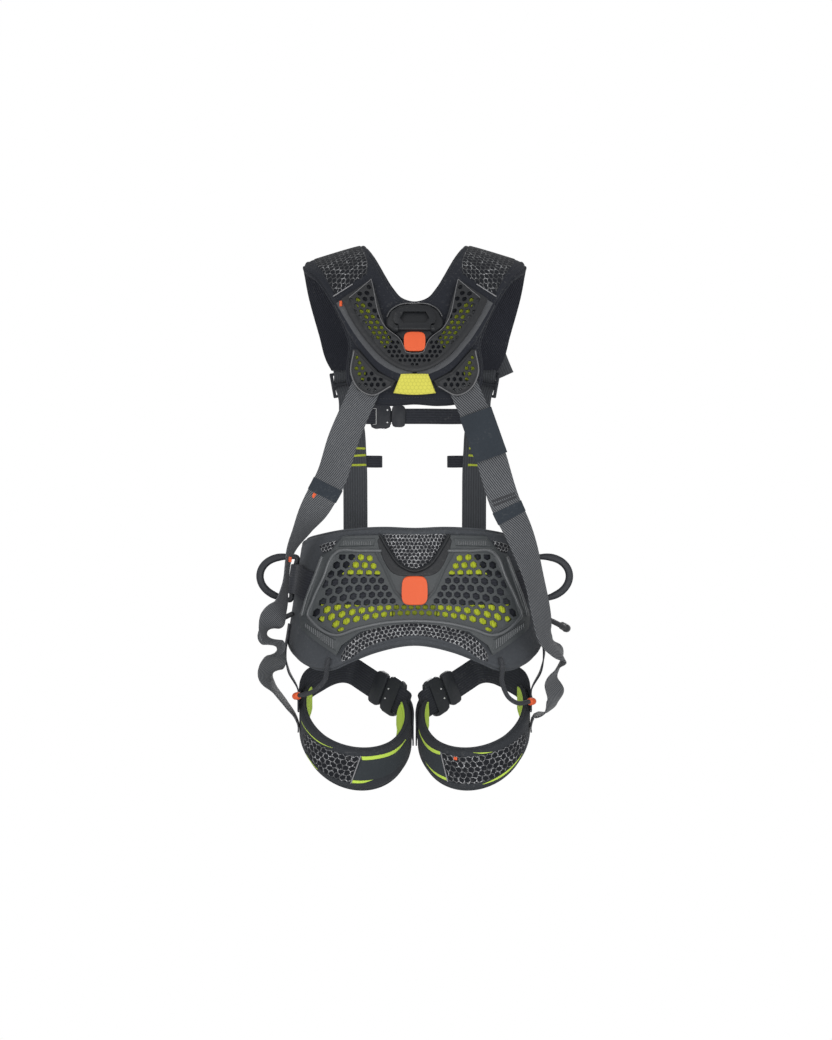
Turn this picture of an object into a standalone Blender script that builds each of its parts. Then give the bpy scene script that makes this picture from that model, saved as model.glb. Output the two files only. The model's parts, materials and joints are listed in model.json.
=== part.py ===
"""A full body tree climbing harness, standing as a climber wears it.

Metres, +Z up. The climber faces +Y, so the back panels face -Y, and left is the climber's left (-X).
The origin is the middle of the climber's waist, which is what holds the harness up.

The soft parts lie on two smooth forms: a waist (superellipse) and a torso profile that runs up the back,
over the shoulder and down the chest. A point on a form is given by two distances along it and a height
above it, so the layers of pad, liner, webbing and shell stack up without meeting.
"""

import math

import bmesh
import bpy
import numpy as np
from mathutils import Matrix, Vector
from mathutils.geometry import delaunay_2d_cdt

LEFT = -1
RIGHT = 1
SIDES = {"left": LEFT, "right": RIGHT}

# Air between two pieces that lie on each other, the thickness of each layer, and the room that flat webbing
# needs under a curved shell
GAP = 0.0005
WEB_T = 0.0022
LINER_T = 0.0016
SHELL_T = 0.003
BOW_ROOM = 0.0010
YOKE_PAD_T = 0.012
SHOULDER_PAD_T = 0.011
BELT_PAD_T = 0.014
LEG_PAD_T = 0.011

# Widths of the webbing
MAIN_WEB = 0.045
FRONT_WEB = 0.040
CHEST_WEB = 0.025
LINK_WEB = 0.022
TIE_IN_WEB = 0.019
CHANNEL_WEB = 0.026
POCKET_T = 0.003
PATCH_T = 0.0025

# The climber's waist, and how much it widens for each metre down towards the hips
WAIST_HALF_WIDTH = 0.169
WAIST_HALF_DEPTH = 0.112
WAIST_SQUARENESS = 2.3
HIP_FLARE = 0.9

# The climber's torso: where the back, shoulder and chest lie, and how they round off to the sides
BACK_Y = -0.130
SHOULDER_Y = -0.030
CHEST_Y = 0.110
YOKE_FOOT_Z = 0.262
SHOULDER_RISE = 0.249
BACK_BULGE = 1.6
SHOULDER_SLOPE = 0.31
SHOULDER_SLOPE_FROM = 0.075
SHOULDER_SLOPE_REACH = 0.11

# How far past the crest of the shoulder the yoke pad meets the shoulder pads
SEAM = 0.010

# The honeycomb of the shells: pitch and hole where the pattern has its full size, and its least share of it
LUMBAR_PITCH = 0.0150
LUMBAR_HOLE = 0.0122
LUMBAR_LEAST = 0.62
LUMBAR_FULL_AT = 0.120
YOKE_PITCH = 0.0112
YOKE_HOLE = 0.0080
YOKE_LEAST = 0.62
YOKE_FULL_AT = 0.110
WING_PITCH = 0.0089
WING_HOLE = 0.0060
RIM_RAISE = 0.0022
RIB_RAISE = 0.0018
RIB_SLOPE = 0.0014
HOLE_LEAST = 0.42
HOLE_EDGE_LEAST = 0.0008
HOLE_WEB_LEAST = 0.0012

# The dorsal attachment: a plate on the yoke with a flat ring that folds out of it
HUB_T = 0.0075
DORSAL_HINGE_UP = 0.114
DORSAL_RING_T = 0.005
DORSAL_RING_HALF_WIDTH = 0.031
DORSAL_RING_HEIGHT = 0.036
DORSAL_PIN_R = 0.0028
DORSAL_PIN_HALF = 0.0285
DORSAL_LUG_W = 0.0050
PIN_CLEARANCE = 0.0005

# Side rings: a D of round bar at the hinge and of flatter section round the bow
RING_Z = 0.012
RING_AROUND = 0.222
RING_BAR_R = 0.004
RING_REACH = 0.052
RING_HALF_HEIGHT = 0.0325
RING_BOW_HALF_WIDTH = 0.0058
RING_BOW_HALF_T = 0.0035

# Gear loops: a stiff hose from one end to the other, with a thicker grip at its tip
GEAR_Z = -0.040
GEAR_REAR = 0.190
GEAR_FRONT = 0.275
GEAR_HOSE_R = 0.0036
GEAR_GRIP_R = 0.0060
GEAR_OUT = 0.047
GEAR_DROP = 0.024

# Shoulder adjusters: a plate with two windows that the front strap weaves through
ADJUSTER_ABOVE_CHEST = 0.0509
ADJUSTER_HALF_L = 0.020
ADJUSTER_PAD_GAP = 0.001
ADJUSTER_BAR = 0.0045
ADJUSTER_T = 0.004
ADJUSTER_WEAVE = 0.0045

# Tie in loops on the front straps
TIE_IN_Z = 0.196
TIE_IN_LAY = WEB_T + 2 * GAP

# Quick connect buckles, in their own frame: +X the way the tongue comes out, +Z away from the climber
FRAME_L = 0.034
BUCKLE_T = 0.009
BUCKLE_SIDE = 0.0075
BUCKLE_EDGE = 0.0012
BUCKLE_CORNER = 0.0085
TONGUE_CORNER = 0.0060
BAR_L = 0.0045
STRAP_INSERT = 0.0095
HEAD_L = 0.018
HEAD_T = 0.003
HEAD_INSET = 0.0035
TONGUE_L = 0.022
TONGUE_WALL = 0.0018
TONGUE_CHEEK = 0.0050
TONGUE_TRAVEL = 0.030
LEVER_L = 0.014
LEVER_W = 0.0065
LEVER_T = 0.005
LEVER_PROUD = 0.0008
LEVER_TRAVEL = 0.0025
LEVER_BACK = 0.009
FIT = 0.0004

# Where the chest and waist buckles sit
CHEST_Z = 0.269
CHEST_BUCKLE_X = -0.038
CHEST_DROP = 0.0075
WAIST_BUCKLE_STANDOFF = 0.010

# Leg loops: the thigh that they go round, and how they tilt down to the rear and lean to the inner side
THIGH_X = 0.0905
THIGH_Y = -0.012
THIGH_Z = -0.2085
THIGH_HALF_WIDTH = 0.075
THIGH_HALF_DEPTH = 0.090
REAR_DROP = 0.0555
INNER_DROP = 0.0125
LEG_PAD_REAR = 0.030
LEG_PAD_OUTER = 0.023
LEG_PAD_INNER = 0.023
LEG_PAD_FROM = math.radians(-24.0)
LEG_PAD_TO = math.radians(204.0)
LEG_BUCKLE_AT = math.radians(237.0)
LEG_BUCKLE_STANDOFF = 0.006
LEG_STRAP_SPARE = 0.008

# Elastic risers that hold the leg loops up
RISER_R = 0.0034
TOGGLE_R = 0.0058
TOGGLE_L = 0.013

# Heights of the layers above each form
ON_SHOULDER = SHOULDER_PAD_T + GAP + WEB_T / 2 + BOW_ROOM / 2
ON_CHEST = 0.004
YOKE_LINER_LOW = YOKE_PAD_T + GAP
YOKE_WEB_LOW = YOKE_LINER_LOW + LINER_T + GAP
YOKE_SHELL_LOW = YOKE_WEB_LOW + WEB_T + BOW_ROOM + GAP
YOKE_SHELL_HIGH = YOKE_SHELL_LOW + SHELL_T
HUB_HIGH = YOKE_WEB_LOW + HUB_T
BELT_LINER_LOW = BELT_PAD_T + GAP + BOW_ROOM / 4
BELT_WEB_LOW = BELT_LINER_LOW + LINER_T + GAP
LUMBAR_LOW = BELT_WEB_LOW + WEB_T + GAP + BOW_ROOM / 4
LUMBAR_HIGH = LUMBAR_LOW + SHELL_T


def finish(name, colour, roughness, metallic=0.0):
    """A Principled material, made once for each name."""
    material = bpy.data.materials.get(name)
    if material is None:
        material = bpy.data.materials.new(name)
        material.use_nodes = True
        shader = material.node_tree.nodes["Principled BSDF"]
        shader.inputs["Base Color"].default_value = (*colour, 1.0)
        shader.inputs["Roughness"].default_value = roughness
        shader.inputs["Metallic"].default_value = metallic
    return material


def add_object(name, mesh, material, round_shape=True):
    """Puts a mesh into the scene as a named, closed solid with its faces pointing out."""
    shape = bmesh.new()
    shape.from_mesh(mesh)
    bmesh.ops.recalc_face_normals(shape, faces=shape.faces)
    shape.to_mesh(mesh)
    shape.free()
    if round_shape:
        mesh.shade_smooth()
        mesh.set_sharp_from_angle(angle=math.radians(40.0))
    mesh.materials.append(material)
    item = bpy.data.objects.new(name, mesh)
    bpy.context.scene.collection.objects.link(item)
    return item


def smooth_path(points, count=0, step=0.0):
    """Points on a smooth curve: cubic Hermite pieces over the chord length.

    They are evenly spaced if a count is given, and otherwise at most a step apart, with a point halfway
    between two that are more than about half a step apart.
    """
    points = np.asarray(points, float)
    chords = np.linalg.norm(np.diff(points[:, :3], axis=0), axis=1)
    along = np.concatenate([[0.0], np.cumsum(chords)])
    slope = np.gradient(points, along, axis=0)
    if count:
        at = np.linspace(0.0, along[-1], count)
    else:
        pieces = np.maximum(np.where(chords > 0.55 * step, 2, 1), np.ceil(chords / step)).astype(int)
        spans = zip(along, along[1:], pieces)
        at = np.concatenate([np.linspace(a, b, n, endpoint=False) for a, b, n in spans])
        at = np.append(at, along[-1])
    piece = np.clip(np.searchsorted(along, at, side="right") - 1, 0, len(along) - 2)
    length = (along[piece + 1] - along[piece])[:, None]
    f = (at - along[piece])[:, None] / length
    start, end = points[piece], points[piece + 1]
    start_slope, end_slope = slope[piece] * length, slope[piece + 1] * length
    return (
        (2 * f**3 - 3 * f**2 + 1) * start
        + (f**3 - 2 * f**2 + f) * start_slope
        + (3 * f**2 - 2 * f**3) * end
        + (f**3 - f**2) * end_slope
    )


def unit(vectors):
    return vectors / np.linalg.norm(vectors, axis=-1, keepdims=True)


def loft(name, rings, material, closed=False, twists=False):
    """A solid through rings of points, each ring with as many points; capped at its ends unless closed.

    The sides of a solid that twists are triangles.
    """
    rings = np.asarray(rings, float)
    count, sides = rings.shape[:2]
    faces = []
    for i in range(count if closed else count - 1):
        here, there = i * sides, (i + 1) % count * sides
        for k in range(sides):
            n = (k + 1) % sides
            quad = (here + k, here + n, there + n, there + k)
            faces += [quad[:3], (quad[0], *quad[2:])] if twists else [quad]
    if not closed:
        faces.append(tuple(range(sides)))
        faces.append(tuple(range((count - 1) * sides, count * sides)))
    mesh = bpy.data.meshes.new(name)
    mesh.from_pydata(rings.reshape(-1, 3).tolist(), [], faces)
    return add_object(name, mesh, material)


def ribbon_rings(centre, across, width, thickness):
    """Rectangular rings along a centre line; across gives the way of the width at each point."""
    tangent = unit(np.gradient(centre, axis=0))
    across = unit(across - np.sum(across * tangent, axis=1, keepdims=True) * tangent)
    normal = np.cross(tangent, across)
    wide = across * width / 2
    thick = normal * thickness / 2
    top, bottom = centre + thick, centre - thick
    return np.stack([top + wide, top - wide, bottom - wide, bottom + wide], 1)


def ribbon(name, route, width, material, step=0.016, thickness=WEB_T):
    """Webbing along a route of (point, across) stations."""
    stations = np.array([[*point, *unit(np.asarray(across, float))] for point, across in route])
    path = smooth_path(stations, step=step)
    return loft(name, ribbon_rings(path[:, :3], path[:, 3:], width, thickness), material, twists=True)


def round_ends(path, radii):
    """A tube's path and radii with a half ball added at each end, centred on the end of the path."""
    turns = np.radians([75.0, 40.0])
    first, last = unit(path[1] - path[0]), unit(path[-1] - path[-2])
    start = path[0] - np.outer(np.sin(turns) * radii[0], first)
    end = path[-1] + np.outer(np.sin(turns[::-1]) * radii[-1], last)
    shrink = np.cos(turns)
    radii = np.concatenate([shrink * radii[0], radii, shrink[::-1] * radii[-1]])
    return np.concatenate([start, path, end]), radii


def tube(name, path, radii, material, sides=10):
    """A round solid along a path, with a radius at each point."""
    tangent = unit(np.gradient(path, axis=0))
    side = np.array([0.0, 0.0, 1.0]) if abs(tangent[0][2]) < 0.8 else np.array([1.0, 0.0, 0.0])
    angles = np.linspace(0.0, 2 * math.pi, sides, endpoint=False)
    rings = []
    for point, way, radius in zip(path, tangent, radii):
        side = unit(side - np.dot(side, way) * way)
        other = np.cross(way, side)
        rings.append(point + radius * (np.cos(angles)[:, None] * side + np.sin(angles)[:, None] * other))
    return loft(name, rings, material)


def densify(loop, step, closed=True):
    """The loop with points added so that no edge is longer than step."""
    loop = np.asarray(loop, float)
    ends = np.roll(loop, -1, axis=0) if closed else loop[1:]
    out = []
    for start, end in zip(loop, ends):
        pieces = max(1, math.ceil(np.linalg.norm(end - start) / step))
        out.extend(start + (end - start) * k / pieces for k in range(pieces))
    if not closed:
        out.append(loop[-1])
    return np.array(out)


def inside(points, loop):
    """Which points lie inside a closed loop (even and odd crossings)."""
    x, y = points[:, 0][:, None], points[:, 1][:, None]
    x0, y0 = loop[:, 0], loop[:, 1]
    x1, y1 = np.roll(x0, -1), np.roll(y0, -1)
    rise = np.where(y1 == y0, 1e-12, y1 - y0)
    crosses = ((y0 > y) != (y1 > y)) & (x < x0 + (y - y0) * (x1 - x0) / rise)
    return crosses.sum(axis=1) % 2 == 1


def distance_to(points, loop):
    """Least distance from each point to the edges of a closed loop."""
    start, edge = loop, np.roll(loop, -1, axis=0) - loop
    offset = points[:, None, :] - start[None]
    share = np.clip(np.sum(offset * edge, axis=2) / np.sum(edge * edge, axis=1), 0.0, 1.0)
    return np.linalg.norm(offset - share[..., None] * edge, axis=2).min(axis=1)


def inset(loop, distance):
    """The loop moved inwards by a distance, corner by corner."""
    before, after = np.roll(loop, 1, axis=0), np.roll(loop, -1, axis=0)
    area = np.sum(loop[:, 0] * after[:, 1] - after[:, 0] * loop[:, 1])
    turn = 1.0 if area > 0 else -1.0
    first, second = unit(loop - before), unit(after - loop)
    left = np.stack([-first[:, 1] - second[:, 1], first[:, 0] + second[:, 0]], 1) * turn
    half = np.sum(left * np.stack([-first[:, 1], first[:, 0]], 1) * turn, axis=1, keepdims=True)
    return loop + left * distance / np.maximum(half, 0.5)


def mirrored(half):
    """A whole outline from its left half, which runs from the middle line to the middle line."""
    half = np.asarray(half, float)
    on_middle = np.abs(half[:, 0]) < 1e-9
    other = half[~on_middle][::-1] * (-1.0, 1.0)
    return np.concatenate([half, other])


def band_outline(inner, outer, inner_middle, outer_middle):
    """A whole band from its left side: the inner edge down to the middle, and the outer edge back up."""
    inner, outer = np.asarray(inner, float), np.asarray(outer, float)
    flip = np.array([-1.0, 1.0])
    middle_in, middle_out = np.array([[0.0, inner_middle]]), np.array([[0.0, outer_middle]])
    return np.concatenate([inner, middle_in, inner[::-1] * flip, outer[::-1] * flip, middle_out, outer])


def grid_in(outline, keep_off, fill):
    """Points of an even grid inside an outline, away from it and from the other points given."""
    first, last = np.ceil(outline.min(axis=0) / fill), np.floor(outline.max(axis=0) / fill)
    axes = [np.arange(a, b + 1.0) * fill for a, b in zip(first, last)]
    grid = np.stack(np.meshgrid(*axes), -1).reshape(-1, 2)
    grid = grid[inside(grid, outline)]
    near = np.linalg.norm(grid[:, None, :] - keep_off[None], axis=2).min(axis=1)
    return grid[(near > 0.55 * fill) & (distance_to(grid, outline) > 0.5 * fill)]


def fill_face(outline, loops, holes, spots):
    """Triangles that fill an outline, except the holes, and keep the edges of the loops.

    Their indices run through all the points in turn. A hole bends outwards everywhere, so a triangle that has
    its three corners on one hole lies in that hole. A sliver between points of a straight edge lies outside.
    """
    rims = [outline, *loops, *holes]
    points = np.concatenate([*rims, spots])
    owner = np.concatenate([np.full(len(rim), i) for i, rim in enumerate(rims)] + [np.full(len(spots), -1)])
    starts = np.cumsum([0] + [len(rim) for rim in rims])
    edges = [(a + k, a + (k + 1) % len(rim)) for a, rim in zip(starts, rims) for k in range(len(rim))]
    found = delaunay_2d_cdt([Vector(p) for p in points], edges, [], 0, 1e-7, True)
    source = np.array([ids[0] for ids in found[3]])
    triangles = source[np.array(found[2])]
    owners = owner[triangles]
    alone = (owners == owners[:, :1]).all(axis=1)
    in_hole = alone & (owners[:, 0] > len(loops))
    sliver = alone & (owners[:, 0] == 0) & (loop_area(points[triangles]) < 1e-9)
    return triangles[inside(points[triangles].mean(axis=1), outline) & ~in_hole & ~sliver]


def plate(
    name,
    material,
    place,
    outline,
    low,
    high,
    holes=(),
    ridges=(),
    edge=0.0,
    edge_share=1.0,
    fill=0.02,
    seats=(),
):
    """A closed solid between two heights above a form.

    The outline, the holes and the ridges are loops on the form, and place(a, b, h) takes them into space.
    The top drops to edge_share of the thickness at the outline and is full from the distance edge inwards.
    A ridge is (loop, raise). Points are added inside so that no face is much longer than fill, and at the
    seats, where another piece lies on this one and its surface has to be exact.
    """
    outline = densify(outline, fill)
    holes = list(holes)
    raised = [(inset(outline, edge), 0.0)] if edge > 0.0 else []
    raised += [(densify(loop, fill), lift) for loop, lift in ridges]
    loops = [loop for loop, _ in raised]
    seats = np.asarray(seats, float).reshape(-1, 2)
    rims = np.concatenate([outline, *holes, seats])
    faces, points = [], []
    for upper in (True, False):
        inner = loops if upper else []
        spots = np.concatenate([grid_in(outline, np.concatenate([rims, *inner]), fill), seats])
        flat = np.concatenate([outline, *inner, *holes, spots])
        level = np.full(len(flat), high if upper else low)
        if upper:
            level[: len(outline)] = low + (high - low) * edge_share
            level[len(outline) : len(outline) + sum(map(len, inner))] += np.repeat(
                [lift for _, lift in raised], [len(loop) for loop in loops]
            )
        first = sum(map(len, points))
        triangles = fill_face(outline, inner, holes, spots) + first
        faces += (triangles if upper else triangles[:, ::-1]).tolist()
        points.append(place(flat[:, 0], flat[:, 1], level))
    skip = sum(map(len, loops))
    below = len(points[0])
    start = 0
    for rim in (outline, *holes):
        count = len(rim)
        top = start if start == 0 else start + skip
        walls = [(k, (k + 1) % count) for k in range(count)]
        faces += [(top + a, top + b, below + start + b, below + start + a) for a, b in walls]
        start += count
    mesh = bpy.data.meshes.new(name)
    mesh.from_pydata(np.concatenate(points).tolist(), [], faces)
    return add_object(name, mesh, material, round_shape=edge > 0.0)


def nearest_on(points, loop):
    """The nearest point to each point on the edges of a closed loop."""
    edge = np.roll(loop, -1, axis=0) - loop
    offset = points[:, None, :] - loop[None]
    share = np.clip(np.sum(offset * edge, axis=2) / np.sum(edge * edge, axis=1), 0.0, 1.0)
    on_edge = loop[None] + share[..., None] * edge
    best = np.linalg.norm(points[:, None, :] - on_edge, axis=2).argmin(axis=1)
    return on_edge[np.arange(len(points)), best]


def loop_area(loops):
    """The area of each closed loop in an array of loops."""
    x, y = loops[..., 0], loops[..., 1]
    return 0.5 * np.abs(np.sum(x * np.roll(y, -1, axis=-1) - np.roll(x, -1, axis=-1) * y, axis=-1))


def honeycomb(region, pitch, hole, warp):
    """Hexagons on a hexagonal lattice with their middles in a region, cut off along its edge.

    warp(points) takes the even lattice to the form, and may shrink the pattern from place to place. A corner
    outside the region moves to the nearest point of its edge. A hexagon that loses too much, bends inwards
    or comes too near a larger one is left out.
    """
    reach = math.ceil(0.32 / pitch)
    rows, columns = np.meshgrid(np.arange(-reach, reach + 1), np.arange(-reach, reach + 1))
    rows, columns = rows.ravel(), columns.ravel()
    centres = np.stack([(columns + 0.5 * (rows % 2)) * pitch, rows * pitch * math.sqrt(0.75)], 1)
    angles = np.radians(30.0 + 60.0 * np.arange(6))
    corner = np.stack([np.cos(angles), np.sin(angles)], 1) * hole / 2
    shape = warp((centres[:, None, :] + corner[None]).reshape(-1, 2))
    shape = shape[np.repeat(inside(warp(centres), region), 6)]
    full = loop_area(shape.reshape(-1, 6, 2))
    outside = ~inside(shape, region)
    shape[outside] = nearest_on(shape[outside], region)
    shape = shape.reshape(-1, 6, 2)
    area = loop_area(shape)
    kept = []
    for k in np.argsort(-area / full):
        cell = shape[k]
        cell = cell[np.linalg.norm(cell - np.roll(cell, 1, axis=0), axis=1) > HOLE_EDGE_LEAST]
        ahead, behind = np.roll(cell, -1, axis=0) - cell, cell - np.roll(cell, 1, axis=0)
        turns = behind[:, 0] * ahead[:, 1] - behind[:, 1] * ahead[:, 0]
        if area[k] < HOLE_LEAST * full[k] or len(cell) < 4 or turns.min() < 0.0:
            continue
        middle = cell.mean(axis=0)
        near = [other for other in kept if np.linalg.norm(other.mean(axis=0) - middle) < 2.0 * pitch]
        gaps = [min(distance_to(cell, other).min(), distance_to(other, cell).min()) for other in near]
        crossed = any(inside(cell, other).any() or inside(other, cell).any() for other in near)
        if not crossed and min(gaps, default=1.0) > HOLE_WEB_LEAST:
            kept.append(cell)
    return kept


def waist_table():
    """Points and outward normals of half the waist, from the middle of the back round to the front."""
    angle = np.linspace(0.0, math.pi, 721)
    power = 2.0 / WAIST_SQUARENESS
    x = WAIST_HALF_WIDTH * np.abs(np.sin(angle)) ** power
    y = -WAIST_HALF_DEPTH * np.sign(np.cos(angle)) * np.abs(np.cos(angle)) ** power
    along = np.concatenate([[0.0], np.cumsum(np.hypot(np.diff(x), np.diff(y)))])
    way = unit(np.stack([np.gradient(x, along), np.gradient(y, along)], 1))
    return along, x, y, way[:, 1], -way[:, 0]


WAIST = waist_table()
WAIST_HALF_ROUND = WAIST[0][-1]


def belt(around, z, height):
    """A point at a distance around the waist from the middle of the back, at a height above the form."""
    around, z, height = np.broadcast_arrays(np.asarray(around, float), z, height)
    along, x, y, nx, ny = WAIST
    at = np.abs(around)
    flare = 1.0 - HIP_FLARE * z
    out_x = np.interp(at, along, x) * flare + np.interp(at, along, nx) * height
    out_y = np.interp(at, along, y) * flare + np.interp(at, along, ny) * height
    return np.stack([np.where(around < 0, -out_x, out_x), out_y, z], -1)


def around_at(x, z):
    """The distance around the waist of what shows at x from behind, on the lumbar shell."""
    along, table_x, _, nx, _ = WAIST
    seen = (table_x + nx * LUMBAR_HIGH)[: len(along) // 2]
    flat = np.abs(x) / (1.0 - HIP_FLARE * z)
    return np.sign(x) * np.interp(flat, seen, along[: len(along) // 2])


def on_belt(outline):
    """An outline given as seen from behind, (x, z), as distances on the belt."""
    outline = np.asarray(outline, float)
    return np.stack([around_at(outline[:, 0], outline[:, 1]), outline[:, 1]], 1)


def torso_table():
    """The torso profile in the YZ plane, from the foot of the yoke over the shoulder to the waist."""
    foot, top = YOKE_FOOT_Z, YOKE_FOOT_Z + SHOULDER_RISE
    points = [
        (BACK_Y + 0.002, foot),
        (BACK_Y, foot + 0.038),
        (BACK_Y + 0.004, foot + 0.098),
        (BACK_Y + 0.016, foot + 0.158),
        (BACK_Y + 0.042, top - 0.037),
        (SHOULDER_Y, top),
        (SHOULDER_Y + 0.060, top - 0.015),
        (CHEST_Y - 0.035, top - 0.062),
        (CHEST_Y - 0.012, top - 0.122),
        (CHEST_Y - 0.002, top - 0.187),
        (CHEST_Y + 0.002, foot),
        (CHEST_Y + 0.004, foot - 0.080),
        (CHEST_Y + 0.004, foot - 0.160),
        (CHEST_Y + 0.002, foot - 0.240),
    ]
    path = smooth_path([(0.0, y, z) for y, z in points], 600)[:, 1:]
    along = np.concatenate([[0.0], np.cumsum(np.linalg.norm(np.diff(path, axis=0), axis=1))])
    way = unit(np.gradient(path, along, axis=0))
    return along, path[:, 0], path[:, 1], -way[:, 1], way[:, 0]


TORSO = torso_table()
CREST = TORSO[0][np.argmax(TORSO[2])]


def torso(x, up, height):
    """A point at x and at a distance up the back (and on over the shoulder), at a height above the form."""
    x, up, height = np.broadcast_arrays(np.asarray(x, float), up, height)
    along, py, pz, ny, nz = TORSO
    y, z, ny, nz = (np.interp(up, along, column) for column in (py, pz, ny, nz))
    beyond = np.abs(x) - SHOULDER_SLOPE_FROM
    beyond = 0.5 * (beyond + np.hypot(beyond, 0.020))
    slope = SHOULDER_SLOPE * np.exp(-(((up - CREST) / SHOULDER_SLOPE_REACH) ** 2))
    return np.stack([x, y - ny * BACK_BULGE * x**2 + ny * height, z - slope * beyond + nz * height], -1)


def up_at_front(z):
    """The distance along the torso profile of a height on the chest."""
    along, _, pz, _, _ = TORSO
    front = along > CREST
    return np.interp(-z, -pz[front], along[front])


def leg(side, angle, rise, height):
    """A point round a thigh: 0 at the outer side, a quarter turn at the rear, half at the inner side."""
    angle, rise, height = np.broadcast_arrays(np.asarray(angle, float), rise, height)
    nx, ny = np.cos(angle) * THIGH_HALF_DEPTH, -np.sin(angle) * THIGH_HALF_WIDTH
    size = np.hypot(nx, ny)
    x = THIGH_X + THIGH_HALF_WIDTH * np.cos(angle) + nx / size * height
    y = THIGH_Y - THIGH_HALF_DEPTH * np.sin(angle) + ny / size * height
    z = THIGH_Z - REAR_DROP * np.sin(angle) + INNER_DROP * np.cos(angle) + rise
    return np.stack([side * x, y, z], -1)


def frame_at(origin, way, outward):
    """A matrix with +X along way and +Z as near to outward as it can be."""
    x = Vector(way).normalized()
    z = Vector(outward)
    z = (z - x * z.dot(x)).normalized()
    matrix = Matrix((x, z.cross(x), z)).transposed().to_4x4()
    matrix.translation = Vector(origin)
    return matrix


def in_frame(matrix, x, y, z):
    return np.array(matrix @ Vector((x, y, z)))


def block(lowest, highest, edge=0.0):
    """A box mesh with its edges broken."""
    shape = bmesh.new()
    size = [b - a for a, b in zip(lowest, highest)]
    middle = [(a + b) / 2 for a, b in zip(lowest, highest)]
    bmesh.ops.create_cube(shape, size=1.0, matrix=Matrix.LocRotScale(middle, None, size))
    if edge > 0.0:
        bmesh.ops.bevel(shape, geom=shape.edges[:], offset=edge, segments=1, affect="EDGES")
    mesh = bpy.data.meshes.new("block")
    shape.to_mesh(mesh)
    shape.free()
    return mesh


def rounded(lowest, highest, corner):
    """A rectangle with round corners, each a quarter circle of three points."""
    turns = np.radians((0.0, 45.0, 90.0))
    middle = (np.array(lowest) + highest) / 2
    half = (np.array(highest) - lowest) / 2 - corner
    loop = []
    for quarter, ways in enumerate(((1, 1), (-1, 1), (-1, -1), (1, -1))):
        angles = turns + quarter * math.pi / 2
        loop.append(middle + half * ways + corner * np.stack([np.cos(angles), np.sin(angles)], 1))
    return np.concatenate(loop)


def cushion_block(lowest, highest, half_t, corner):
    """A flat block with round corners and a broken edge above and below."""
    outline = rounded(lowest, highest, corner)
    inner = rounded(np.array(lowest) + BUCKLE_EDGE, np.array(highest) - BUCKLE_EDGE, corner - BUCKLE_EDGE)
    waist = half_t - BUCKLE_EDGE
    levels = ((inner, -half_t), (outline, -waist), (outline, waist), (inner, half_t))
    points = np.concatenate([np.insert(loop, 2, level, axis=1) for loop, level in levels])
    count = len(outline)
    faces = [tuple(range(count)), tuple(range(3 * count, 4 * count))]
    for ring in range(3):
        here, above = ring * count, (ring + 1) * count
        spans = [(k, (k + 1) % count) for k in range(count)]
        faces += [(here + k, here + n, above + n, above + k) for k, n in spans]
    mesh = bpy.data.meshes.new("block")
    mesh.from_pydata(points.tolist(), [], faces)
    return mesh


def prism(outline, low, high, axis=2):
    """An outline carried straight from low to high along an axis; the outline is in the other two."""
    outline = np.asarray(outline, float)
    count = len(outline)
    ends = [np.insert(outline, axis, level, axis=1) for level in (low, high)]
    faces = [tuple(range(count)), tuple(range(count, 2 * count))]
    faces += [(k, (k + 1) % count, (k + 1) % count + count, k + count) for k in range(count)]
    mesh = bpy.data.meshes.new("prism")
    mesh.from_pydata(np.concatenate(ends).tolist(), [], faces)
    return mesh


def cylinder(radius, start, end, axis, centre, sides=16):
    """A round bar along an axis, centred on the other two coordinates."""
    angles = np.linspace(0.0, 2 * math.pi, sides, endpoint=False)
    return prism(np.stack([np.cos(angles), np.sin(angles)], 1) * radius + centre, start, end, axis)


def combine(item, mesh, operation):
    """Joins a mesh to an object, or cuts it out, with a Boolean whose tool stays out of sight."""
    tool = add_object(item.name + "_tool", mesh, item.data.materials[0], round_shape=False)
    tool.matrix_world = item.matrix_world
    tool.hide_render = True
    tool.display_type = "WIRE"
    step = item.modifiers.new(operation.lower(), "BOOLEAN")
    step.operation = operation
    step.object = tool
    return item


def materials():
    """The finishes, from the photograph."""
    return {
        "pad": finish("black pad fabric", (0.018, 0.020, 0.026), 0.85),
        "liner": finish("yellow green mesh", (0.55, 0.72, 0.06), 0.75),
        "shell": finish("dark moulded shell", (0.045, 0.048, 0.050), 0.55),
        "twill": finish("grey twill webbing", (0.11, 0.115, 0.12), 0.80),
        "webbing": finish("black webbing", (0.020, 0.022, 0.027), 0.80),
        "metal": finish("black anodised metal", (0.030, 0.032, 0.036), 0.35, 1.0),
        "bright": finish("bare metal", (0.60, 0.60, 0.60), 0.30, 1.0),
        "hose": finish("dark rubber hose", (0.035, 0.036, 0.038), 0.60),
        "orange": finish("orange rubber", (0.85, 0.16, 0.05), 0.60),
    }


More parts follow.
